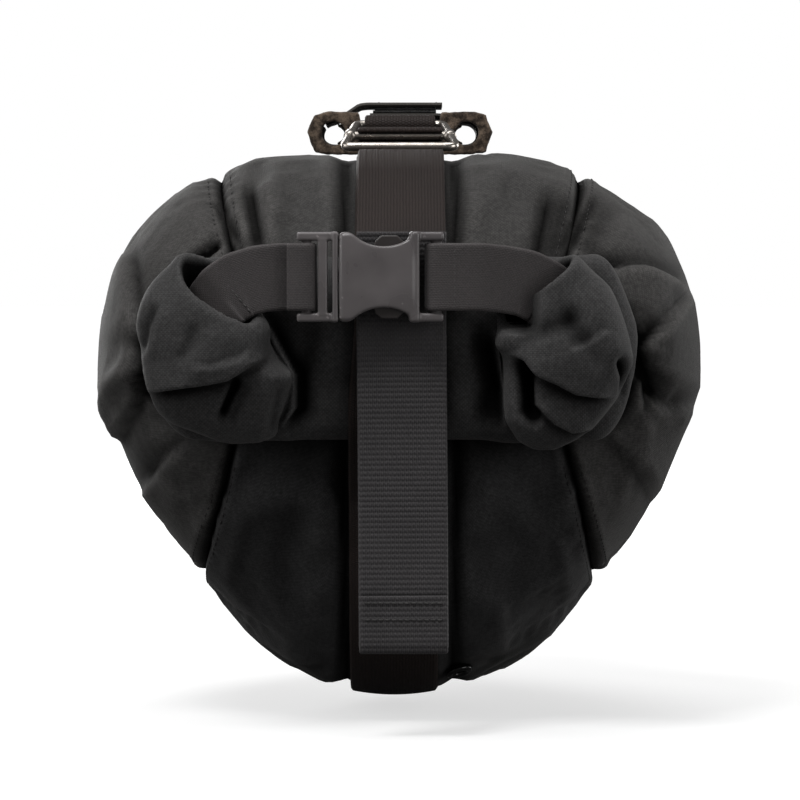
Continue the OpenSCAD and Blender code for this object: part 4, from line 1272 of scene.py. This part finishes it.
def sdf_box(p, centre, half, r):
    q = [np.abs(p[k] - centre[k]) - (half[k] - r) for k in range(3)]
    outside = np.sqrt(sum(np.maximum(v, 0) ** 2 for v in q))
    return outside + np.minimum(np.maximum(np.maximum(q[0], q[1]), q[2]), 0) - r


def rounded(d, h, r):
    """The overlap of two distance fields drawn in by r, grown back so that its edges are round."""
    return np.minimum(np.maximum(d, h), 0) + np.hypot(np.maximum(d, 0), np.maximum(h, 0)) - r


def sdf_rod_z(p, x, y, r, half, soft=0.4):
    return rounded(np.hypot(p[0] - x, p[1] - y) - (r - soft), np.abs(p[2]) - (half - soft), soft)


def join(a, b, k=0.6):
    h = np.clip(0.5 + 0.5 * (b - a) / k, 0, 1)
    return b + (a - b) * h - k * h * (1 - h)


def cut(a, b, k=0.5):
    return -join(-a, b, k)


def sdf_polygon(x, z, pts):
    pts = np.asarray(pts, float)
    best, inside = np.full(x.shape, 1e9), np.zeros(x.shape, bool)
    for a, b in zip(pts, np.roll(pts, -1, 0)):
        d = b - a
        t = np.clip(((x - a[0]) * d[0] + (z - a[1]) * d[1]) / (d @ d), 0, 1)
        best = np.minimum(best, np.hypot(x - a[0] - t * d[0], z - a[1] - t * d[1]))
        cross = ((a[1] > z) != (b[1] > z)) & (x < (b[0] - a[0]) * (z - a[1]) / (b[1] - a[1] + 1e-12) + a[0])
        inside ^= cross
    return np.where(inside, -best, best)


def moulded(name, field, lo, hi, voxel, material, place=BUCKLE):
    """A skin at the zero level of a distance field, in a frame of its own at a place (millimetres)."""
    axes = [np.arange(lo[k], hi[k], voxel) for k in range(3)]
    v = field(np.meshgrid(*axes, indexing="ij"))
    inside = v < 0
    shape = np.array(v.shape) - 1
    corners = [(i, j, k) for i in (0, 1) for j in (0, 1) for k in (0, 1)]

    def corner(c):
        """The field at one corner of every cell."""
        return v[tuple(slice(c[k], c[k] + shape[k]) for k in range(3))]

    # surface nets: one point in each cell that the surface crosses
    cells = sum((corner(c) < 0).astype(int) for c in corners)
    active = (cells > 0) & (cells < 8)
    index = np.full(active.shape, -1)
    index[active] = np.arange(active.sum())
    total, count = np.zeros(active.shape + (3,)), np.zeros(active.shape)
    for a in corners:
        for axis in range(3):
            if a[axis]:
                continue
            b = tuple(1 if k == axis else a[k] for k in range(3))
            va, vb = corner(a), corner(b)
            crossing = (va < 0) != (vb < 0)
            t = np.where(crossing, va / np.where(crossing, va - vb, 1), 0)
            for k in range(3):
                total[..., k] += np.where(crossing, a[k] + (t if k == axis else 0), 0)
            count += crossing
    where = np.argwhere(active)
    pts = (where + total[active] / count[active][:, None]) * voxel + np.array([a[0] for a in axes])
    faces = []
    for axis in range(3):
        o1, o2 = [k for k in range(3) if k != axis]
        lo_s, hi_s = [slice(1, -1)] * 3, [slice(1, -1)] * 3
        lo_s[axis], hi_s[axis] = slice(0, -1), slice(1, None)
        a, b = inside[tuple(lo_s)], inside[tuple(hi_s)]
        cross = np.argwhere(a != b)
        offset = np.ones(3, int)
        offset[axis] = 0
        base = cross + offset
        flip = a[tuple(cross.T)]
        quad = []
        for d1, d2 in ((-1, -1), (0, -1), (0, 0), (-1, 0)):
            c = base.copy()
            c[:, o1] += d1
            c[:, o2] += d2
            quad.append(index[tuple(c.T)])
        quad = np.stack(quad, 1)
        turn = flip if axis != 1 else ~flip
        quad[turn] = quad[turn][:, ::-1]
        faces.append(quad)
    return build(name, pts + place, np.concatenate(faces), material)


def socket_field(p):
    x, y, z = p
    crown = 0.75 * (z / BUCKLE_H) ** 2 + 0.35 * ((x - 11) / 11) ** 2
    q = [x, np.sign(y) * (np.abs(y) + crown), z]
    d = sdf_box(q, (11.6, 0, 0), (11.3, 4.2, BUCKLE_H), 1.5)
    for s in (-1, 1):
        ring = np.hypot((x - 13.6) * 0.97, z - s * (BUCKLE_H + 8.6)) - 12.8
        d = cut(d, ring, 1.0)
    dish = np.sqrt(((x - 12.2) / 9.5) ** 2 + (z / 7.5) ** 2 + ((np.abs(y) - 6.3) / 2.6) ** 2) - 1
    d = cut(d, dish * 2.2, 1.2)
    d = cut(d, sdf_box(p, (9.5, 0, 0), (12.0, 2.35, 10.9), 0.4), 0.3)
    for s in (-1, 1):
        d = join(d, sdf_box(p, (26.2, 0, s * 12.0), (5.2, 2.5, 1.3), 0.9), 1.2)
    d = join(d, sdf_box(p, (22.9, 0, 0), (1.3, 3.3, BUCKLE_H), 0.8), 0.8)
    return join(d, sdf_rod_z(p, 29.1, 0, 1.7, 11.6), 0.5)


def plug_field(p):
    d = sdf_box(p, (-0.75, 0, 0), (0.85, 2.9, BUCKLE_H), 0.6)
    for s in (-1, 1):
        d = join(d, sdf_box(p, (-6.1, 0, s * 12.0), (6.1, 2.0, 1.3), 0.8), 0.8)
    d = join(d, sdf_box(p, (-4.5, -0.4, 0), (1.45, 1.7, 11.6), 0.7), 0.5)
    d = join(d, sdf_rod_z(p, -9.3, 0.2, 1.4, 11.6), 0.5)
    return join(d, sdf_box(p, (6.0, 0, 0), (6.2, 1.1, 1.7), 0.5), 0.4)


def arm_field(s):
    shape = [(1.8, -1.2), (12, -1.6), (20, 1.4), (20, 3.6), (17.6, 5.9), (13, 5.9), (11, 4.2), (10.4, 1.6),
             (1.8, 1.2)]

    def field(p):
        x, y, z = p
        w = s * z - 6.4
        outline = np.minimum(sdf_polygon(x, w, shape), np.hypot(x - 1.8, w) - 1.3)
        return rounded(outline + 0.35, np.abs(y) - 1.75, 0.35)

    return field


def buckle():
    v = 0.25
    give(moulded("buckle_socket_body", socket_field, (-1, -5.5, -15), (33, 5.5, 15), v, "buckle"), "socket",
         "buckle_socket", slot="buckle")
    give(moulded("buckle_plug_frame", plug_field, (-14, -4.5, -15), (14, 4.5, 15), v, "buckle"), "bag",
         "buckle_plug", slot="buckle")
    for s, side in ((1, "upper"), (-1, "lower")):
        lo, hi = (-0.5, -3, 3.5 if s > 0 else -13.5), (21.5, 3, 13.5 if s > 0 else -3.5)
        give(moulded("buckle_arm_" + side, arm_field(s), lo, hi, v, "buckle_arm"), side + "_arm",
             "plug_arm_" + side, slot="buckle")


buckle()
rail_pad()

# ---------------------------------------------------------------- closure straps

CLOSURE_W = 20.0
PLUG_BAR_X, SOCKET_BAR_X = -9.3, 29.1  # from the buckle's middle


def around_bar(x, r, a0, a1, z, n=12):
    a = np.radians(np.linspace(a0, a1, n + 1))
    return np.stack([BUCKLE[0] + x + r * np.cos(a), BUCKLE[1] + r * np.sin(a), np.full(n + 1, z)], 1)


def closure_straps():
    z = BUCKLE[2]
    r = 1.4 + 0.25 + WEB_T / 2
    x_bar = BUCKLE[0] + PLUG_BAR_X
    left = np.concatenate([
        [(-58, -253.0, 61.5), (-55.5, -254.2, 65.0), (-52.3, -255.3, 69.0), (-47.5, -256.0, 72.2),
         (-41.5, -256.0, 74.0), (-35, -255.6, 74.6), (-31, BUCKLE[1] + 2.85, z),
         (x_bar - 1.5, BUCKLE[1] + r, z)],
        around_bar(PLUG_BAR_X, r, 90, -90, z),
        [(x_bar - 2.5, BUCKLE[1] - r + 0.3, z), (x_bar - 5.5, BUCKLE[1] - 0.6, z)]])
    obj = strap("closure_webbing_left", left, Z_AXIS, CLOSURE_W, WEB_T, "closure", step=0.6, across=20)
    give(obj, "bag", "closure_strap_left", slot="closure_webbing")
    a, b = left[1], left[3]
    t = unit(b - a)
    wide = unit(np.array(Z_AXIS) - t * t[2])
    face = np.cross(t, wide)
    face *= -np.sign(face[1])
    c = a + (b - a) * 0.75 + face * (WEB_T / 2 + 0.05)
    row = np.array([c - wide * 8.6, c + wide * 8.6])
    give(stitches("closure_stitches_left", [(row, face)], 2.0, 1.4, 0.22), "bag")

    r = 1.7 + 0.3 + WEB_T / 2
    x_bar = BUCKLE[0] + SOCKET_BAR_X
    front = BUCKLE[1] - r
    right = np.concatenate([
        [(48, -253.6, 65.5), (43, -254.6, 69.8), (37.5, -256.0, 72.6), (31, -257.4, 73.8),
         (24, front + 0.7, z), (x_bar + 4, front, z)],
        around_bar(SOCKET_BAR_X, r, 270, 90, z),
        [(x_bar + 2, BUCKLE[1] + r - 0.2, z), (x_bar + 6, front + WEB_T + 1.3, z),
         (x_bar + 14, front + WEB_T + 1.9, z)]])
    obj = strap("closure_webbing_right", right, Z_AXIS, CLOSURE_W, WEB_T, "closure", step=0.6, across=20)
    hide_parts("closure_strap_right")
    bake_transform(obj)
    x, y = x_bar + 5.5, front - WEB_T / 2 + 0.28
    row = np.linspace((x, y, z - 8.5), (x, y, z + 8.5), 12)
    give(stitches("closure_stitches_right", [(row, REARWARD)], 2.0, 1.4, 0.2), "socket")


closure_straps()

# ---------------------------------------------------------------- eyelet


# the eyelet's section: radius, and height above the cloth
EYELET = [(1.8, -3.2), (2.45, -3.2), (2.45, 0.1), (2.9, 0.25), (4.0, 0.25), (4.25, 0.45), (4.15, 0.95),
          (3.7, 1.35), (3.1, 1.5), (2.5, 1.4), (2.0, 1.05), (1.8, 0.5)]


def eyelet():
    c, n = skin(*EYELET_AT), skin_normal(*EYELET_AT)
    t = unit(np.cross(n, Z_AXIS))
    b = np.cross(n, t)
    a = np.linspace(0, 2 * np.pi, 49)[:-1]
    rings = np.array([[c + (t * math.cos(w) + b * math.sin(w)) * r + n * h for w in a] for r, h in EYELET])
    faces = grid_faces(*rings.shape[:2], wrap=True, ring=True)
    give(build("eyelet_ring", rings.reshape(-1, 3), faces, "eyelet"), "bag", "drain_eyelet", slot="eyelet")


eyelet()

# ---------------------------------------------------------------- pieces inside the bag keep their CAD shape

INSIDE = {"liner": "lining", "base_stiffener": "sheet", "nose_stiffener": "sheet", "seam_tape_left": "piping",
          "seam_tape_right": "piping", "eyelet_washer": "eyelet"}
for node, material in INSIDE.items():
    mesh = NODES[node].data
    mesh.materials.clear()
    mesh.materials.append(M[material])
    box_map(mesh)

# ---------------------------------------------------------------- floor, light and camera


# name, place, size in metres, watts
LIGHTS = [
    ("key", (-0.5, -1.1, 1.6), 0.5, 18.0),
    ("top", (0.1, -0.25, 1.6), 0.9, 8.5),
    ("fill", (1.3, -1.2, 0.35), 1.0, 7.0),
    ("rim", (-1.3, -0.6, 0.5), 0.8, 5.0),
    ("front", (-0.7, 1.5, 0.5), 1.0, 16.0),
    ("side", (1.5, 0.7, 0.4), 0.8, 8.0),
]
FLOOR_HALF, FLOOR_GAP = 30.0, 0.004


def studio():
    scene = bpy.context.scene
    r, z = FLOOR_HALF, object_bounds()[0].z - FLOOR_GAP
    mesh = bpy.data.meshes.new("floor")
    mesh.from_pydata([(-r, -r, z), (r, -r, z), (r, r, z), (-r, r, z)], [], [(0, 1, 2, 3)])
    floor = bpy.data.objects.new("floor", mesh)
    scene.collection.objects.link(floor)
    # the camera sees the floor glow to white, and the object sees it dark
    g = Graph("pale_floor")
    seen = g.node("LightPath", out=0)
    tone = g.span(seen, 0, 1, 0.12, 0.5)
    far = g.node("VectorMath", {0: g.place()}, out=1, operation="LENGTH")
    glow = g.times(seen, g.span(far, 0.3, 1.3, 0.6, 1.0))
    mesh.materials.append(g.finish(Base_Color=g.node("CombineColor", {0: tone, 1: tone, 2: tone}),
                                   Roughness=0.95, Emission_Color=(1, 1, 1), Emission_Strength=glow))
    floor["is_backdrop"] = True
    world = bpy.data.worlds.new("studio")
    scene.world = world
    world.use_nodes = True
    background = world.node_tree.nodes["Background"]
    background.inputs[0].default_value = (1, 1, 1, 1)
    path = world.node_tree.nodes.new("ShaderNodeLightPath")
    power = world.node_tree.nodes.new("ShaderNodeMapRange")
    power.inputs[3].default_value, power.inputs[4].default_value = 0.10, 1.0
    world.node_tree.links.new(path.outputs[0], power.inputs[0])
    world.node_tree.links.new(power.outputs[0], background.inputs[1])
    for name, place, size, energy in LIGHTS:
        light = bpy.data.lights.new(name, "AREA")
        light.size, light.energy = size, energy
        obj = bpy.data.objects.new(name, light)
        obj.location = place
        obj.rotation_euler = (Vector((0, -0.17, 0.03)) - Vector(place)).to_track_quat("-Z", "Y").to_euler()
        scene.collection.objects.link(obj)
    cam = bpy.data.objects.new("camera", bpy.data.cameras.new("camera"))
    scene.collection.objects.link(cam)
    target = Vector((0, -0.2, 0.0365))
    elevation, distance = math.radians(1.5), 1.31
    cam.location = target + Vector((0, -math.cos(elevation), math.sin(elevation))) * distance
    cam.rotation_euler = (target - cam.location).to_track_quat("-Z", "Y").to_euler()
    cam.data.lens = 190.0
    scene.camera = cam
    scene.view_settings.view_transform = "Standard"


studio()
